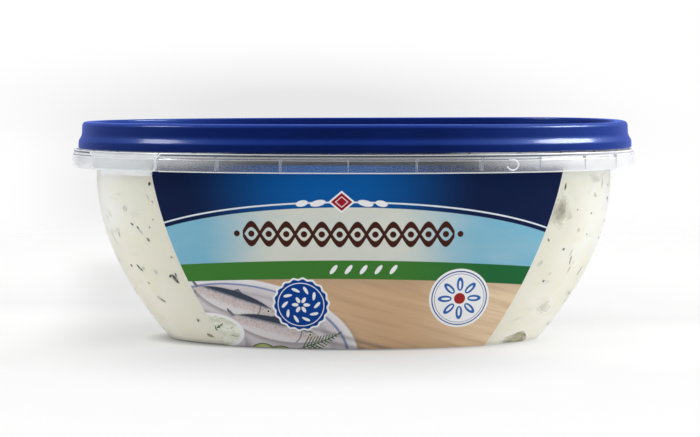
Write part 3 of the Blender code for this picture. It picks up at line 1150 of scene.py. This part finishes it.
faintFlecks = [
    (-69.3, 40.3, 1.8, 0.4, -55, 0.1), (-71.4, 32.7, 4.2, 0.4, -62, 0.05), (-49.0, 46.2, 2.4, 0.4, -64, 0.1),
    (-54.2, 35.6, 1.8, 0.5, -55, 0.1), (-59.6, 24.0, 1.6, 0.7, 25, 0.2), (-54.0, 23.2, 1.4, 0.9, 70, 0.1),
    (-59.4, 14.6, 1.6, 0.7, 10, 0.0), (-59.2, 42.5, 1.8, 1.4, 20, 0.0), (61.3, 29.2, 2.0, 0.4, 86, 0.1),
    (61.5, 36.0, 1.0, 0.8, 0, 0.0), (55.1, 22.9, 0.9, 0.6, 20, 0.0), (49.4, 26.3, 2.0, 0.8, 60, 0.1),
    (60.8, 12.4, 3.6, 0.9, 42, 0.1), (67.5, 46.5, 1.6, 0.7, -50, 0.1), (72.0, 50.0, 3.0, 0.5, 80, 0.0),
]


# each with two tones, and how much sauce lies over it
dillTones = {
    "dill_dark": (darkFlecks, (0.02, 0.028, 0.016), (0.045, 0.055, 0.03), 0.05),
    "dill_olive": (oliveFlecks, (0.16, 0.13, 0.05), (0.22, 0.20, 0.08), 0.2),
    "dill_faint": (faintFlecks, (0.30, 0.31, 0.26), (0.40, 0.41, 0.34), 0.8),
}


def fleckOutline(length, width, bend, rng):
    # a bent blade, blunt at one end and pointed at the other, as points along both edges
    steps = 5
    left, right = [], []
    for k in range(steps + 1):
        share = k / steps
        x = (share - 0.5) * length
        y = bend * length * (share * share - share)
        swell = math.sin(math.pi * min(1.0, share * 0.9 + 0.08)) ** 0.6
        half = 0.5 * width * swell * rng.uniform(0.7, 1.2)
        left.append((x, y + half))
        right.append((x, y - half))
    return left, right


def makeFlecks(name, flecks, material, inside):
    form = fleckForm
    rng = random.Random(form["seed"] + 1)
    longer, wider = form["size"]
    points, faces = [], []
    for angle, height, length, width, turn, bend in flecks:
        left, right = fleckOutline(length * longer, width * wider, bend, rng)
        around = math.radians(angle)
        pace = ovalRun(around, wallInset(height), height).length / mm
        cosine, sine = math.cos(math.radians(turn)), math.sin(math.radians(turn))
        first, count = len(points), len(left)
        for skin in (0.0, form["thick"]):
            for x, y in left + right:
                along, up = x * cosine - y * sine, x * sine + y * cosine
                z = min(form["highest"], max(form["lowest"], height + up))
                inset = wallInset(z, inside - form["proud"] + skin)
                points.append(ovalPlace(around + along / pace, inset, z))
        outerLeft, outerRight, innerLeft, innerRight = (
            [first + row * count + k for k in range(count)] for row in range(4))
        for k in range(count - 1):
            faces.append((outerLeft[k], outerRight[k], outerRight[k + 1], outerLeft[k + 1]))
            faces.append((innerLeft[k], innerLeft[k + 1], innerRight[k + 1], innerRight[k]))
            faces.append((outerLeft[k], outerLeft[k + 1], innerLeft[k + 1], innerLeft[k]))
            faces.append((outerRight[k], innerRight[k], innerRight[k + 1], outerRight[k + 1]))
        faces.append((outerLeft[0], innerLeft[0], innerRight[0], outerRight[0]))
        faces.append((outerLeft[-1], outerRight[-1], innerRight[-1], innerLeft[-1]))
    mesh = bpy.data.meshes.new(name)
    mesh.from_pydata(points, [], faces)
    piece = bpy.data.objects.new(name, mesh)
    bpy.context.scene.collection.objects.link(piece)
    faceOutward(piece)
    return dress(piece, material, sharpest=30)


def scatteredFlecks(seed, count):
    # behind and at the ends, where the photo's own flecks don't lie
    rng = random.Random(fleckForm["seed"] + seed)
    found = []
    chartedFrom, chartedTo = fleckForm["charted"]
    while len(found) < count:
        angle = rng.uniform(-180, 180)
        if chartedFrom < abs(angle) < chartedTo:
            continue
        height = rng.uniform(*fleckForm["looseHeights"])
        length = rng.choice(fleckForm["lengths"]) * rng.uniform(0.8, 1.2)
        width = min(length * 0.6, rng.uniform(0.3, 0.6))
        found.append((angle, height, length, width, rng.uniform(-90, 90), rng.uniform(-0.3, 0.3)))
    return found


# the printed label

labelForm = {
    "top": 56.6,
    "bottom": 0.1,
    "halfAngle": 42.9,
    "halfLength": 55.0,
    "flare": (6.4, 7.7),    # how far it widens to the top, at the left and the right
    "turn": 1.5,
    "margin": 0.15,
    "off": 0.03,
    "thick": 0.09,
    "columns": 120,
    "rows": 72,
    "sheet": (160.0, 60.0),         # the print's width and height, which its UV map spans
    "printShift": 2.2,              # from the label's middle line to the pack's
    "arcStep": 0.5,                 # degrees, for measuring along the wall
    "arcSteps": 130,
}


def labelHalf(height, side):
    return labelForm["halfAngle"] + labelForm["flare"][side > 0] * (height / labelForm["top"]) ** 2


def makeLabel(name, middle, printed, white, node):
    form = labelForm
    columns, rows = form["columns"], form["rows"]
    sheetWidth, sheetHeight = form["sheet"]
    bpy.ops.mesh.primitive_grid_add(x_subdivisions=columns, y_subdivisions=rows, size=1.0)
    label = bpy.context.object
    label.name = name
    across = label.data.uv_layers.active or label.data.uv_layers.new(name="UVMap")
    across.name = "printPlace"
    flatPlace = [Vector(corner.co) for corner in label.data.vertices]
    arcs = {}
    near = 1e-6
    edgeShare, inner = 1.0 - form["margin"] / form["halfLength"], 1.0 - 2.0 / columns
    for corner, flat in zip(label.data.vertices, flatPlace):
        height = form["bottom"] + (form["top"] - form["bottom"]) * (flat.y + 0.5)
        share = 2 * flat.x
        half = labelHalf(height, share)
        if abs(share) > inner + near:
            share = math.copysign(1.0, share)
        else:
            share *= edgeShare / inner
        angle = math.radians(middle + half * share)
        corner.co = ovalPlace(angle, wallInset(height, -form["off"]), height)
        arcs[corner.index] = (half * share, height)
    for loop in label.data.loops:
        degrees, height = arcs[loop.vertex_index]
        across.data[loop.index].uv = (0.5 + arcLength(degrees, height) / sheetWidth, height / sheetHeight)
    label.data.materials.append(printed)
    label.data.materials.append(white)
    for face in label.data.polygons:
        outermost = max(abs(flatPlace[k].x) for k in face.vertices)
        face.material_index = 1 if outermost > 0.5 - near else 0
    skin = label.modifiers.new("Skin", "SOLIDIFY")
    skin.thickness = form["thick"] * mm
    skin.offset = 1.0
    applyAll(label)
    return dress(label, printed, [node])


arcTable = {}


def arcLength(degrees, height):
    # millimetres round the wall from the label's middle line
    key = round(height, 3)
    step, count = labelForm["arcStep"], labelForm["arcSteps"]
    if key not in arcTable:
        places = [ovalPlace(math.radians(step * k), wallInset(height), height) for k in range(count + 1)]
        lengths = [0.0]
        for before, after in zip(places, places[1:]):
            lengths.append(lengths[-1] + (after - before).length / mm)
        arcTable[key] = lengths
    steps = abs(degrees) / step
    whole = min(int(steps), count - 1)
    lengths = arcTable[key]
    length = lengths[whole] + (lengths[whole + 1] - lengths[whole]) * (steps - whole)
    return math.copysign(length, degrees)


class Print(Paint):
    # flat shapes on the label, in millimetres: u along it from the pack's middle, v up

    def __init__(self, name):
        super().__init__(name)
        width, height = labelForm["sheet"]
        self.uv = self.node("ShaderNodeUVMap", {"uv_map": "printPlace"})
        across, up, _ = self.parts(self.uv)
        self.u, self.v = (across - 0.5) * width + labelForm["printShift"], up * height

    def local(self, centre, turn=0.0):
        # along and across a shape that is turned about its centre
        right, up = self.u - centre[0], self.v - centre[1]
        cosine, sine = math.cos(math.radians(turn)), math.sin(math.radians(turn))
        return right * cosine + up * sine, up * cosine - right * sine

    def oval(self, centre, size, turn=0.0):
        along, across = self.local(centre, turn)
        return ((along / size[0]).square() + (across / size[1]).square()).root()

    def strand(self, turn, along, across):
        # a place for noise that runs in strands
        right, up = self.local((0.0, 0.0), turn)
        return self.node("ShaderNodeCombineXYZ", None, {0: right * along, 1: up * across})

    def round(self, centre):
        # distance from a centre and angle round it
        right, up = self.local(centre)
        return (right * right + up * up).root(), up.math("ARCTAN2", right)

    def repeat(self, length, shift=0.0):
        # goes from -half to +half a length, over and over
        return (self.u + shift).math("WRAP", 0.5 * length, -0.5 * length)

    def petal(self, away, angle, count, middle, size):
        # one of a ring of leaves: its middle's distance, its half width and half length as squares
        side = angle.math("WRAP", math.pi / count, -math.pi / count) * away
        return side.square() / size[0] + (away - middle).square() / size[1]


def herring(paint, under, centre, length, turn):
    # a plain whole fish, seen from the side
    tones = {
        "belly": (0.66, 0.62, 0.63),
        "side": (0.35, 0.33, 0.36),
        "warm": (0.55, 0.37, 0.31),
        "back": (0.045, 0.055, 0.085),
        "scale": (0.78, 0.77, 0.79),
        "fin": (0.16, 0.15, 0.18),
        "gill": (0.08, 0.08, 0.10),
        "eye": (0.70, 0.66, 0.50),
        "pupil": (0.01, 0.01, 0.012),
        "shadow": (0.12, 0.10, 0.10),
    }
    along, across = paint.local(centre, turn)
    half, thick = 0.5 * length, 0.135 * length
    share = along / half
    outline = thick * ((1.0 - share * share) | 0.0).power(0.7)
    body = (outline - abs(across)).above(0.0, 0.14)
    behind = -along - 0.8 * half
    fork = ((behind - 1.9) * 0.85 | 0.0) - abs(across)
    tail = behind.between(0.0, 4.4, 0.1) * (behind * 0.62 + 0.2 - abs(across)).above(0.0, 0.12)
    tail = tail * fork.below(0.0, 0.12)
    fin = (across - outline * 0.8).above(0.0, 0.1)
    fin = fin * (across + abs(along) * 0.7 - thick * 1.28).below(0.0, 0.1)
    shape = body | tail | fin
    side = across / thick
    scales = paint.cells(paint.strand(turn, 1.5, 1.9), 1.0).above(0.42, 0.2)
    strands = paint.noise(paint.strand(turn, 0.12, 1.1), 1.0, 3.0)
    colour = paint.mix(side.above(-0.15, 0.55), tones["belly"], tones["side"])
    middle = (side + (strands - 0.5) * 0.8).between(-0.3, 0.25, 0.25)
    colour = paint.mix(middle * 0.5, colour, tones["warm"])
    colour = paint.mix((side + (strands - 0.5) * 0.3).above(0.42, 0.16), colour, tones["back"])
    colour = paint.mix(scales * body * side.below(0.4, 0.2) * 0.35, colour, tones["scale"])
    colour = paint.mix((tail | fin) * (1.0 - body) * 0.8, colour, tones["fin"])
    gill = (share - 0.6 + across * across / (thick * thick) * 0.11).between(-0.015, 0.015, 0.012)
    colour = paint.mix(gill * 0.7, colour, tones["gill"])
    eye = ((share - 0.79) * half).power(2.0) + (across - 0.18 * thick).power(2.0)
    colour = paint.mix(eye.below(0.34, 0.06), colour, tones["eye"])
    colour = paint.mix(eye.below(0.11, 0.04), colour, tones["pupil"])
    shadow = (outline - abs(across + 0.5)).above(-0.6, 0.7)
    under = paint.mix(shadow * 0.45, under, tones["shadow"])
    return paint.mix(shape, under, colour)


def frond(paint, under, centre, length, turn, ink):
    # a feathery dill tip: a stem with slanting needles
    along, across = paint.local(centre, turn)
    share = along / length
    bend = across - share * share * 0.18 * length
    needle = (along - abs(bend) * 0.9).math("WRAP", 0.0, 1.15)
    reach = (1.0 - share) * 0.30 * length * share.above(0.1, 0.12)
    leaves = needle.below(0.42, 0.12) * (reach - abs(bend)).above(0.0, 0.25)
    stem = abs(bend).below(0.16, 0.09)
    return paint.mix((leaves | stem) * share.between(0.0, 1.0, 0.02), under, ink)


def cucumber(paint, under, centre, radius, turn):
    # a cucumber slice with a dark rind and pale seeds in a ring
    flat = 0.74
    size = radius, radius * flat
    shadow = paint.oval((centre[0] + 0.4, centre[1] - 0.5), size, turn).below(1.05, 0.12)
    under = paint.mix(shadow * 0.4, under, (0.15, 0.14, 0.12))
    edge = paint.oval(centre, size, turn)
    along, across = paint.local(centre, turn)
    angle = (across / flat).math("ARCTAN2", along)
    seed = angle.math("WRAP", 0.393, -0.393) * edge
    seeds = (seed.square() * 12.0 + (edge - 0.42).square() * 30.0).below(0.35, 0.2)
    colour = paint.mix(edge.above(0.62, 0.2), (0.62, 0.66, 0.44), (0.42, 0.50, 0.18))
    colour = paint.mix(edge.above(0.89, 0.05), colour, (0.05, 0.10, 0.02))
    colour = paint.mix(seeds * 0.6, colour, (0.78, 0.76, 0.58))
    return paint.mix(edge.below(1.0, 0.04), under, colour)


printInks = {
    "navy": (0.0026, 0.0105, 0.052),
    "blue": (0.0, 0.092, 0.34),
    "line": (0.68, 0.74, 0.80),
    "sky": (0.185, 0.43, 0.57),
    "pale": (0.62, 0.635, 0.57),
    "green": (0.046, 0.185, 0.030),
    "darkGreen": (0.013, 0.122, 0.036),
    "wood": (0.60, 0.405, 0.245),
    "woodPale": (0.76, 0.60, 0.42),
    "woodLine": (0.47, 0.31, 0.185),
    "woodShade": (0.26, 0.19, 0.13),
    "brown": (0.050, 0.012, 0.008),
    "white": (0.80, 0.81, 0.82),
    "red": (0.32, 0.006, 0.020),
    "badge": (0.0, 0.045, 0.26),
    "petal": (0.02, 0.12, 0.40),
    "heart": (0.33, 0.02, 0.02),
    "plate": (0.60, 0.56, 0.585),
    "dill": (0.04, 0.12, 0.025),
}


def paintFields(paint, inks):
    # the plain grounds: wooden board, green band, sky and header with its line
    u, v = paint.u, paint.v
    overArch = v - 45.9 + u * u * (0.00176 + u * u * 0.00000013)
    overBandTop = v - (28.6 - u * u * 0.0009)
    overBand = v - (22.9 - (u + 2.0).square() * 0.0009)
    cloud = paint.noise(paint.uv, 7.0, 5.0, 0.55)
    grainTurn = -17.0
    grain = paint.noise(paint.strand(grainTurn, 0.028, 0.42), 1.0, 5.0, 0.6)
    broad = paint.noise(paint.strand(grainTurn, 0.02, 0.12), 1.0, 2.0)
    colour = paint.mix((u / 60.0).above(0.52, 0.28) * 0.8, inks["wood"], inks["woodPale"])
    lines = grain.above(0.54, 0.12) * 0.5 + broad.above(0.56, 0.12) * 0.35
    colour = paint.mix(lines, colour, inks["woodLine"])
    colour = paint.mix((0.0 - overBand).below(2.2, 2.2) * 0.3, colour, inks["woodShade"])
    board = colour, overBand

    band = paint.mix((u / 60.0).above(0.5, 0.3), inks["green"], inks["darkGreen"])
    side = (abs(u + 3.0) / 46.0).above(0.62, 0.34)
    sky = paint.mix(side * 0.98 + (cloud - 0.5) * 0.55, inks["pale"], inks["sky"])
    far = (((u + 5.0).square() + (v - 52.0).square() * 2.0).root() / 60.0).above(0.42, 0.33)
    header = paint.mix(far, inks["blue"], inks["navy"])
    upper = paint.mix(overBandTop.above(0.0, 0.1), band, sky)
    upper = paint.mix(overArch.above(-1.5, 0.1), upper, header)
    upper = paint.mix(overArch.between(-0.24, 0.24, 0.1), upper, inks["line"])
    return board, upper


dishForm = {
    "rim": ((-33.0, 0.0), (36.0, 22.5), -6.0),              # centre, half size and turn
    "fish": (((-34.5, 14.8), 27.0, -17.0), ((-22.5, 6.6), 28.0, -13.0)),
    "cup": ((-43.0, 1.2), (11.0, 8.0)),
    "cupShadow": ((-41.6, -0.6), (11.6, 8.6)),
    "cupMouth": ((-43.0, 4.6), (11.0, 6.4)),
    "slices": (((-26.5, -1.4), 3.9, 8.0), ((-20.6, -2.2), 4.1, -6.0), ((-14.4, -2.6), 3.8, 12.0)),
    "fronds": (((-14.0, 0.5), 13.0, 14.0), ((-13.0, -0.5), 9.5, -12.0), ((-45.0, 4.0), 7.0, 20.0)),
}


def paintDish(paint, under, inks):
    # a round dish with two whole fish, a bowl of sauce, cucumber slices and dill
    form = dishForm
    lump = paint.noise(paint.uv, 26.0, 3.0, 0.6)
    (x, y), size, turn = form["rim"]
    shadow = paint.oval((x + 1.6, y - 1.6), size, turn).below(1.0, 0.05)
    colour = paint.mix(shadow * 0.5, under, (0.20, 0.14, 0.10))
    plate = paint.oval((x, y), size, turn)
    china = paint.mix(plate.above(0.93, 0.07), inks["plate"], (0.76, 0.75, 0.76))
    china = paint.mix((plate - 0.80).between(-0.025, 0.025, 0.03) * 0.55, china, (0.34, 0.33, 0.37))
    china = paint.mix(plate.between(0.90, 0.925, 0.006) * 0.8, china, (0.10, 0.17, 0.38))
    colour = paint.mix(plate.below(1.0, 0.012), colour, china)
    for centre, length, turn in form["fish"]:
        colour = herring(paint, colour, centre, length, turn)
    cupShadow = paint.oval(*form["cupShadow"]).below(1.0, 0.12)
    colour = paint.mix(cupShadow * 0.45, colour, (0.16, 0.14, 0.14))
    colour = paint.mix(paint.oval(*form["cup"]).below(1.0, 0.03), colour, (0.55, 0.54, 0.57))
    mouth = paint.oval(*form["cupMouth"])
    cream = paint.mix(lump.above(0.5, 0.14), (0.60, 0.62, 0.50), (0.80, 0.80, 0.72))
    cream = paint.mix(paint.noise(paint.uv, 75.0, 2.0).above(0.64, 0.05) * 0.8, cream, (0.16, 0.24, 0.06))
    colour = paint.mix(mouth.below(1.0, 0.02), colour, (0.80, 0.80, 0.82))
    colour = paint.mix(mouth.below(0.87, 0.03), colour, cream)
    for centre, radius, turn in form["slices"]:
        colour = cucumber(paint, colour, centre, radius, turn)
    for centre, length, turn in form["fronds"]:
        colour = frond(paint, colour, centre, length, turn, inks["dill"])
    return colour


def paintSeals(paint, colour, inks):
    # a scalloped blue seal with a wreath of leaves, and a white disc with a flower
    away, angle = paint.round((-14.2, 14.6))
    scallop = away / (1.0 + (angle * 18.0).sine() * 0.028)
    colour = paint.mix(scallop.below(8.5, 0.1), colour, inks["white"])
    colour = paint.mix(scallop.below(7.9, 0.1), colour, inks["badge"])
    colour = paint.mix(away.between(6.75, 7.0, 0.08), colour, inks["white"])
    turned = angle.math("WRAP", math.pi / 10, -math.pi / 10) * away
    lean, flat = turned * 0.75 + (away - 4.9) * 0.66, (away - 4.9) * 0.75 - turned * 0.66
    leaves = (lean.square() / 1.7 + flat.square() / 0.22).below(1.0, 0.15)
    colour = paint.mix(leaves, colour, inks["white"])
    bloom = paint.petal(away, angle, 6, 1.75, (0.30, 1.0)).below(1.0, 0.15)
    colour = paint.mix(bloom, colour, inks["white"])

    away, angle = paint.round((33.4, 16.4))
    colour = paint.mix(away.below(9.4, 0.1), colour, inks["white"])
    colour = paint.mix(away.between(8.35, 8.7, 0.08), colour, inks["badge"])
    colour = paint.mix(away.between(7.7, 7.85, 0.08), colour, inks["badge"])
    outer = paint.petal(away, angle, 8, 4.6, (1.1, 4.6)).below(1.0, 0.08)
    colour = paint.mix(outer, colour, inks["petal"])
    core = paint.petal(away, angle, 8, 4.3, (0.16, 1.9)).below(1.0, 0.15)
    colour = paint.mix(core, colour, inks["white"])
    return paint.mix(away.below(1.75, 0.08), colour, inks["heart"])


def paintOrnaments(paint, colour, inks):
    # a red lozenge with leaves on the line, a brown braid, and white leaves on the band
    u, v = paint.u, paint.v
    gem = abs(u + 2.0) / 3.9 + abs(v - 46.0) / 3.3
    colour = paint.mix(gem.below(1.0, 0.03), colour, inks["white"])
    colour = paint.mix(gem.below(0.8, 0.03), colour, inks["red"])
    colour = paint.mix(gem.between(0.42, 0.5, 0.03), colour, inks["white"])
    for shift, size in ((6.9, 2.3), (11.6, 1.8)):
        for way in (-1, 1):
            leaf = paint.oval((-2.0 + way * shift, 45.75 - shift * 0.02), (size, 0.9), -12.0 * way)
            colour = paint.mix(leaf.below(1.0, 0.06), colour, inks["white"])
    braidLength, braidHeight, braidEnd = 10.4, 36.4, 31.2
    swing = (u * (2 * math.pi / braidLength)).sine() * 2.9
    rise = v - braidHeight
    cords = (abs(rise - swing) & abs(rise + swing)).below(0.95, 0.12)
    loop = paint.repeat(0.5 * braidLength, 0.25 * braidLength)
    eyes = (loop.square() + rise.square()).root().below(0.95, 0.1)
    colour = paint.mix((cords | eyes) * u.between(-braidEnd, braidEnd, 0.1), colour, inks["brown"])
    tips = ((abs(u) - 33.0).square() + rise.square()).root().below(0.9, 0.1)
    colour = paint.mix(tips, colour, inks["brown"])
    step = paint.repeat(4.4)
    lean, flat = (v - 25.8) * 0.8 + step * 0.6, (v - 25.8) * 0.6 - step * 0.8
    leaves = (lean.square() / 2.9 + flat.square() / 0.40).below(1.0, 0.12) * u.between(-6.6, 15.4, 0.1)
    return paint.mix(leaves, colour, inks["white"])


def labelPaint():
    # a plain design of the maker's own, in the print's place
    inks = printInks
    paint = Print("printedFilm")
    (board, overBand), upper = paintFields(paint, inks)
    colour = paintDish(paint, board, inks)
    colour = paint.mix(overBand.above(0.0, 0.1), colour, upper)
    colour = paintSeals(paint, colour, inks)
    colour = paintOrnaments(paint, colour, inks)
    speck = paint.noise(paint.uv, 900.0, 1.0)
    colour = paint.mix(speck.above(0.5, 0.3) * 0.01, colour, (0.5, 0.5, 0.5))
    return paint.finish(paint.body({
        "Base Color": colour,
        "Roughness": 0.3 + speck * 0.1,
        "Specular IOR Level": 0.06,
        "Normal": paint.bump(speck, 0.00003, 0.3),
    }))


def marginPaint():
    paint = Paint("labelMargin")
    fibre = paint.noise(paint.place(), 900.0, 2.0)
    return paint.finish(paint.body({
        "Base Color": paint.mix(fibre, (0.78, 0.79, 0.78), (0.86, 0.86, 0.84)),
        "Roughness": 0.35 + fibre * 0.1}))


def makeBaseLabel(material):
    outline, width = wallInset(0.0, 6.0), 12.0
    top, bottom = tubForm["recess"] - 0.05, tubForm["recess"] - 0.3
    section = [(outline + width, bottom), (outline, bottom), (outline, top), (outline + width, top)]
    label = spunOval("label_under", section, 128)
    closeEnds(label)
    return dress(label, material, ["label_base"])


# floor, light and camera

studio = {
    "aim": (0.0, 0.0, 0.05),        # the lamps point here
    "floor": ((0.40, 0.40, 0.397), (0.415, 0.415, 0.412)),
    "floorGlow": 0.45,      # how brightly the pale floor glows; the painted shade and lift below change this glow
    "fadeFrom": 0.22,       # metres from the pack, where the floor starts to melt into the backdrop
    "fadeTo": 0.60,
    "seen": 1.0,            # the backdrop as the camera sees it
    "dip": 0.19,            # and how much it greys behind the pack, as a painted shadow
    "front": 0.02,          # the room's light from the front, where it is dark
    "behind": 0.5,          # and from the pale sweep behind
    "gloss": 0.45,          # how much of that shows in shiny surfaces
    "floorGloss": 0.4,
    "contact": (1.16, 0.28, 0.85),          # painted contact shadow where it stands: place, blur and strength
    "leftShade": 0.33,      # painted shade on the floor at the left
    "frontShade": 0.2,      # and painted shade before the pack: how dark, its centre and its spread
    "frontPlace": ((-0.012, -0.055), (0.0056, 0.0025)),
    "lift": (0.24, 0.19, 0.16),             # painted light: how much brighter the floor is: left, right, far off
    # the painted shadow in the backdrop: centre and spread, how far it goes and how softly, strength
    "greys": (
        (((-0.06, -0.012), (0.034, 0.00105)), (0.5, 0.62), 1.0),
        (((-0.156, -0.0585), (0.0025, 0.0025)), (0.5, 0.6), 0.7),
        (((-0.03, -0.026), (0.034, 0.0006)), (0.72, 0.48), 0.32),
    ),
}


def floorPaint():
    paint = Paint("studioFloor")
    where = paint.place()
    grain = paint.noise(where, 60.0, 4.0)
    away = paint.node("ShaderNodeVectorMath", {"operation": "LENGTH"}, {0: where}, out=1)
    x, y, _ = paint.parts(where)
    along, deep, power = ovalForm(wallInset(0.0), 0.0)
    # painted shadows on the floor: the dark line where the pack stands and the soft shade at its left and
    # before it; painted light: the lift
    edge, blur, dark = studio["contact"]
    touch = ((abs(x) / (along * mm)).power(power) + (abs(y) / (deep * mm)).power(power)).below(edge, blur)
    side = (x + y * 0.16).above(-0.087, 0.014) * x.below(-0.055, 0.025)
    side = side * y.above(-0.02, 0.03) * y.below(0.25, 0.06)
    side = side * (studio["leftShade"] * (0.36 + 0.64 * y.above(0.07, 0.03)))
    ahead = apart(x, y, *studio["frontPlace"]).below(0.7, 0.4)
    shade = touch * x.below(0.028, 0.05) * dark | side | ahead * studio["frontShade"]
    leftLift, rightLift, farLift = studio["lift"]
    lift = x.below(-0.091, 0.02) * y.between(-0.03, 0.066, 0.03) * leftLift
    lift = lift + x.above(0.045, 0.03) * y.between(-0.05, 0.035, 0.02) * rightLift
    lift = lift + away.above(0.20, 0.07) * farLift
    near, far = studio["fadeFrom"], studio["fadeTo"]
    first, second = studio["floor"]
    ground = paint.body({
        "Base Color": paint.mix(grain, first, second),
        "Roughness": 0.7 + grain * 0.1,
        "Emission Color": (1.0 + lift) * (1.0 - shade),
        "Emission Strength": studio["floorGlow"],
        "Specular IOR Level": 0.0})
    share = away.below(0.5 * (near + far), 0.5 * (far - near))
    share = share * (1.0 - (1.0 - studio["floorGloss"]) * paint.ray("Glossy"))
    return paint.finish(paint.blend(share, paint.clear(), ground))


def softbox(name, direction, distance, size, power, gloss=True, fill=True):
    # gloss: it shows in shiny surfaces; fill: it lights dull ones
    azimuth, rise = (math.radians(value) for value in direction)
    away = Vector((math.sin(azimuth) * math.cos(rise), -math.cos(azimuth) * math.cos(rise), math.sin(rise)))
    bpy.ops.object.light_add(type="AREA", location=Vector(studio["aim"]) + away * distance)
    light = bpy.context.object
    light.name = name
    light.data.shape = "RECTANGLE"
    light.data.size, light.data.size_y = size
    light.data.energy = power
    light.rotation_euler = away.to_track_quat("Z", "Y").to_euler()
    light.visible_glossy = gloss
    light.visible_diffuse = fill
    return light


# white to the camera with a painted soft shadow behind the pack, and a dark room before it

def makeWorld():
    world = bpy.data.worlds.new("studioAir")
    bpy.context.scene.world = world
    paint = Paint("studioAir", world)
    path = paint.ray("Camera")
    gloss = paint.ray("Glossy")
    x, y, z = paint.parts(paint.node("ShaderNodeTexCoord", out="Generated"))
    room = studio["front"] + (studio["behind"] - studio["front"]) * (y * 0.9 + z * 0.12).above(0.28, 0.34)
    # painted shadow: the backdrop greys behind the pack
    dip = 0.0
    for place, (reach, blur), strength in studio["greys"]:
        dip = apart(x, z, *place).below(reach, blur) * strength + dip
    dip = (dip & 1.0) * y.above(0.0, 0.1)
    seen = studio["seen"] - studio["dip"] * dip
    strength = seen * path + room * (1.0 - path) * (1.0 - (1.0 - studio["gloss"]) * gloss)
    air = paint.node("ShaderNodeBackground", None, {"Color": (1, 1, 1), "Strength": strength})
    out = world.node_tree.nodes.new("ShaderNodeOutputWorld")
    world.node_tree.links.new(air.socket, out.inputs["Surface"])


def makeStudio():
    # the floor lies a hair below the pack
    bpy.ops.mesh.primitive_circle_add(vertices=96, radius=1.2, fill_type="NGON", location=(0, 0, -0.2 * mm))
    floor = bpy.context.object
    floor.name = "floor"
    floor.data.materials.append(floorPaint())
    softbox("rightGleam", (87, 40), 1.15, (0.54, 0.32), 24.0, fill=False)
    softbox("leftGleam", (-74, 42), 1.15, (0.28, 0.28), 6.4, fill=False)
    softbox("topPanel", (30, 80), 1.3, (1.9, 1.6), 19.0, gloss=False)
    softbox("rightPanel", (82, 22), 1.2, (0.9, 0.8), 9.0, gloss=False)
    softbox("leftPanel", (-84, 20), 1.2, (0.9, 0.8), 6.5, gloss=False)
    softbox("frontPanel", (5, 12), 1.6, (1.6, 0.8), 6.9, gloss=False)
    makeWorld()
    report("studio ready")


camera = {"place": (15.5, -589.4, 81.3), "turn": 1.604, "down": 4.228, "lens": 96.43}


def makeCamera():
    bpy.ops.object.camera_add(location=Vector(camera["place"]) * mm)
    eye = bpy.context.object
    eye.rotation_euler = (math.radians(90.0 - camera["down"]), 0.0, math.radians(camera["turn"]))
    eye.data.lens = camera["lens"]
    eye.data.sensor_width = 36.0
    eye.data.clip_start = 0.01
    bpy.context.scene.camera = eye
    bpy.context.scene.view_settings.view_transform = "Standard"


makeCamera()
makeStudio()
makeLid(lidPaint())
makeTubShell(clearPaint("clearWall", 0.02, edge=0.3, body=(0.985, 0.985, 0.98), edgeEnd=(0.054, 0.016)))
makeSkirt(clearPaint("clearSkirt", 0.045, skirtLightLines, body=(0.982, 0.99, 1.0), fade=(0.080, 0.006, 0.25)))
# the ribs' dark grey tint is painted shade for the dark that their edges show
makeRibs(clearPaint("clearRib", 0.5, tint=(0.36, 0.38, 0.43), edge=0.1, fade=(0.0845, 0.0015, 0.0)))
# the tab's border, lip, notches and gate mark are painted near white, as painted highlights on their edges
brightEdge = clearPaint("clearTabEdge", 0.6, tint=(0.96, 0.97, 0.98))
makeTab(clearPaint("clearTab", 0.2, tint=(0.84, 0.85, 0.85), body=(0.93, 0.935, 0.935)), brightEdge)
makeLoop(brightEdge)
makeSauce(saucePaint())
for seed, (biteName, biteForm) in enumerate(biteForms.items()):
    makeBite(biteName, biteForm, seed)

dillSkin = packForm["wall"] - sauceForm["intoWall"]
longer, wider = fleckForm["halo"]
halos = [(angle, height, length * longer, width * wider, turn, bend)
         for angle, height, length, width, turn, bend in darkFlecks if length > fleckForm["haloFrom"]]
haloPaint = dillPaint("dill_halo", (0.44, 0.45, 0.37), (0.52, 0.53, 0.44), 0.8)
makeFlecks("dill_halo", halos, haloPaint, dillSkin + 0.02)
for seed, (dillName, (shown, first, second, veil)) in enumerate(dillTones.items()):
    dill = dillPaint(dillName, first, second, veil)
    makeFlecks(dillName, shown + scatteredFlecks(seed, fleckForm["loose"] // len(dillTones)), dill, dillSkin)

printed, margin = labelPaint(), marginPaint()
makeLabel("label_print_front", labelForm["turn"], printed, margin, "label_front")
makeLabel("label_print_back", 180.0 + labelForm["turn"], printed, margin, "label_back")
makeBaseLabel(margin)
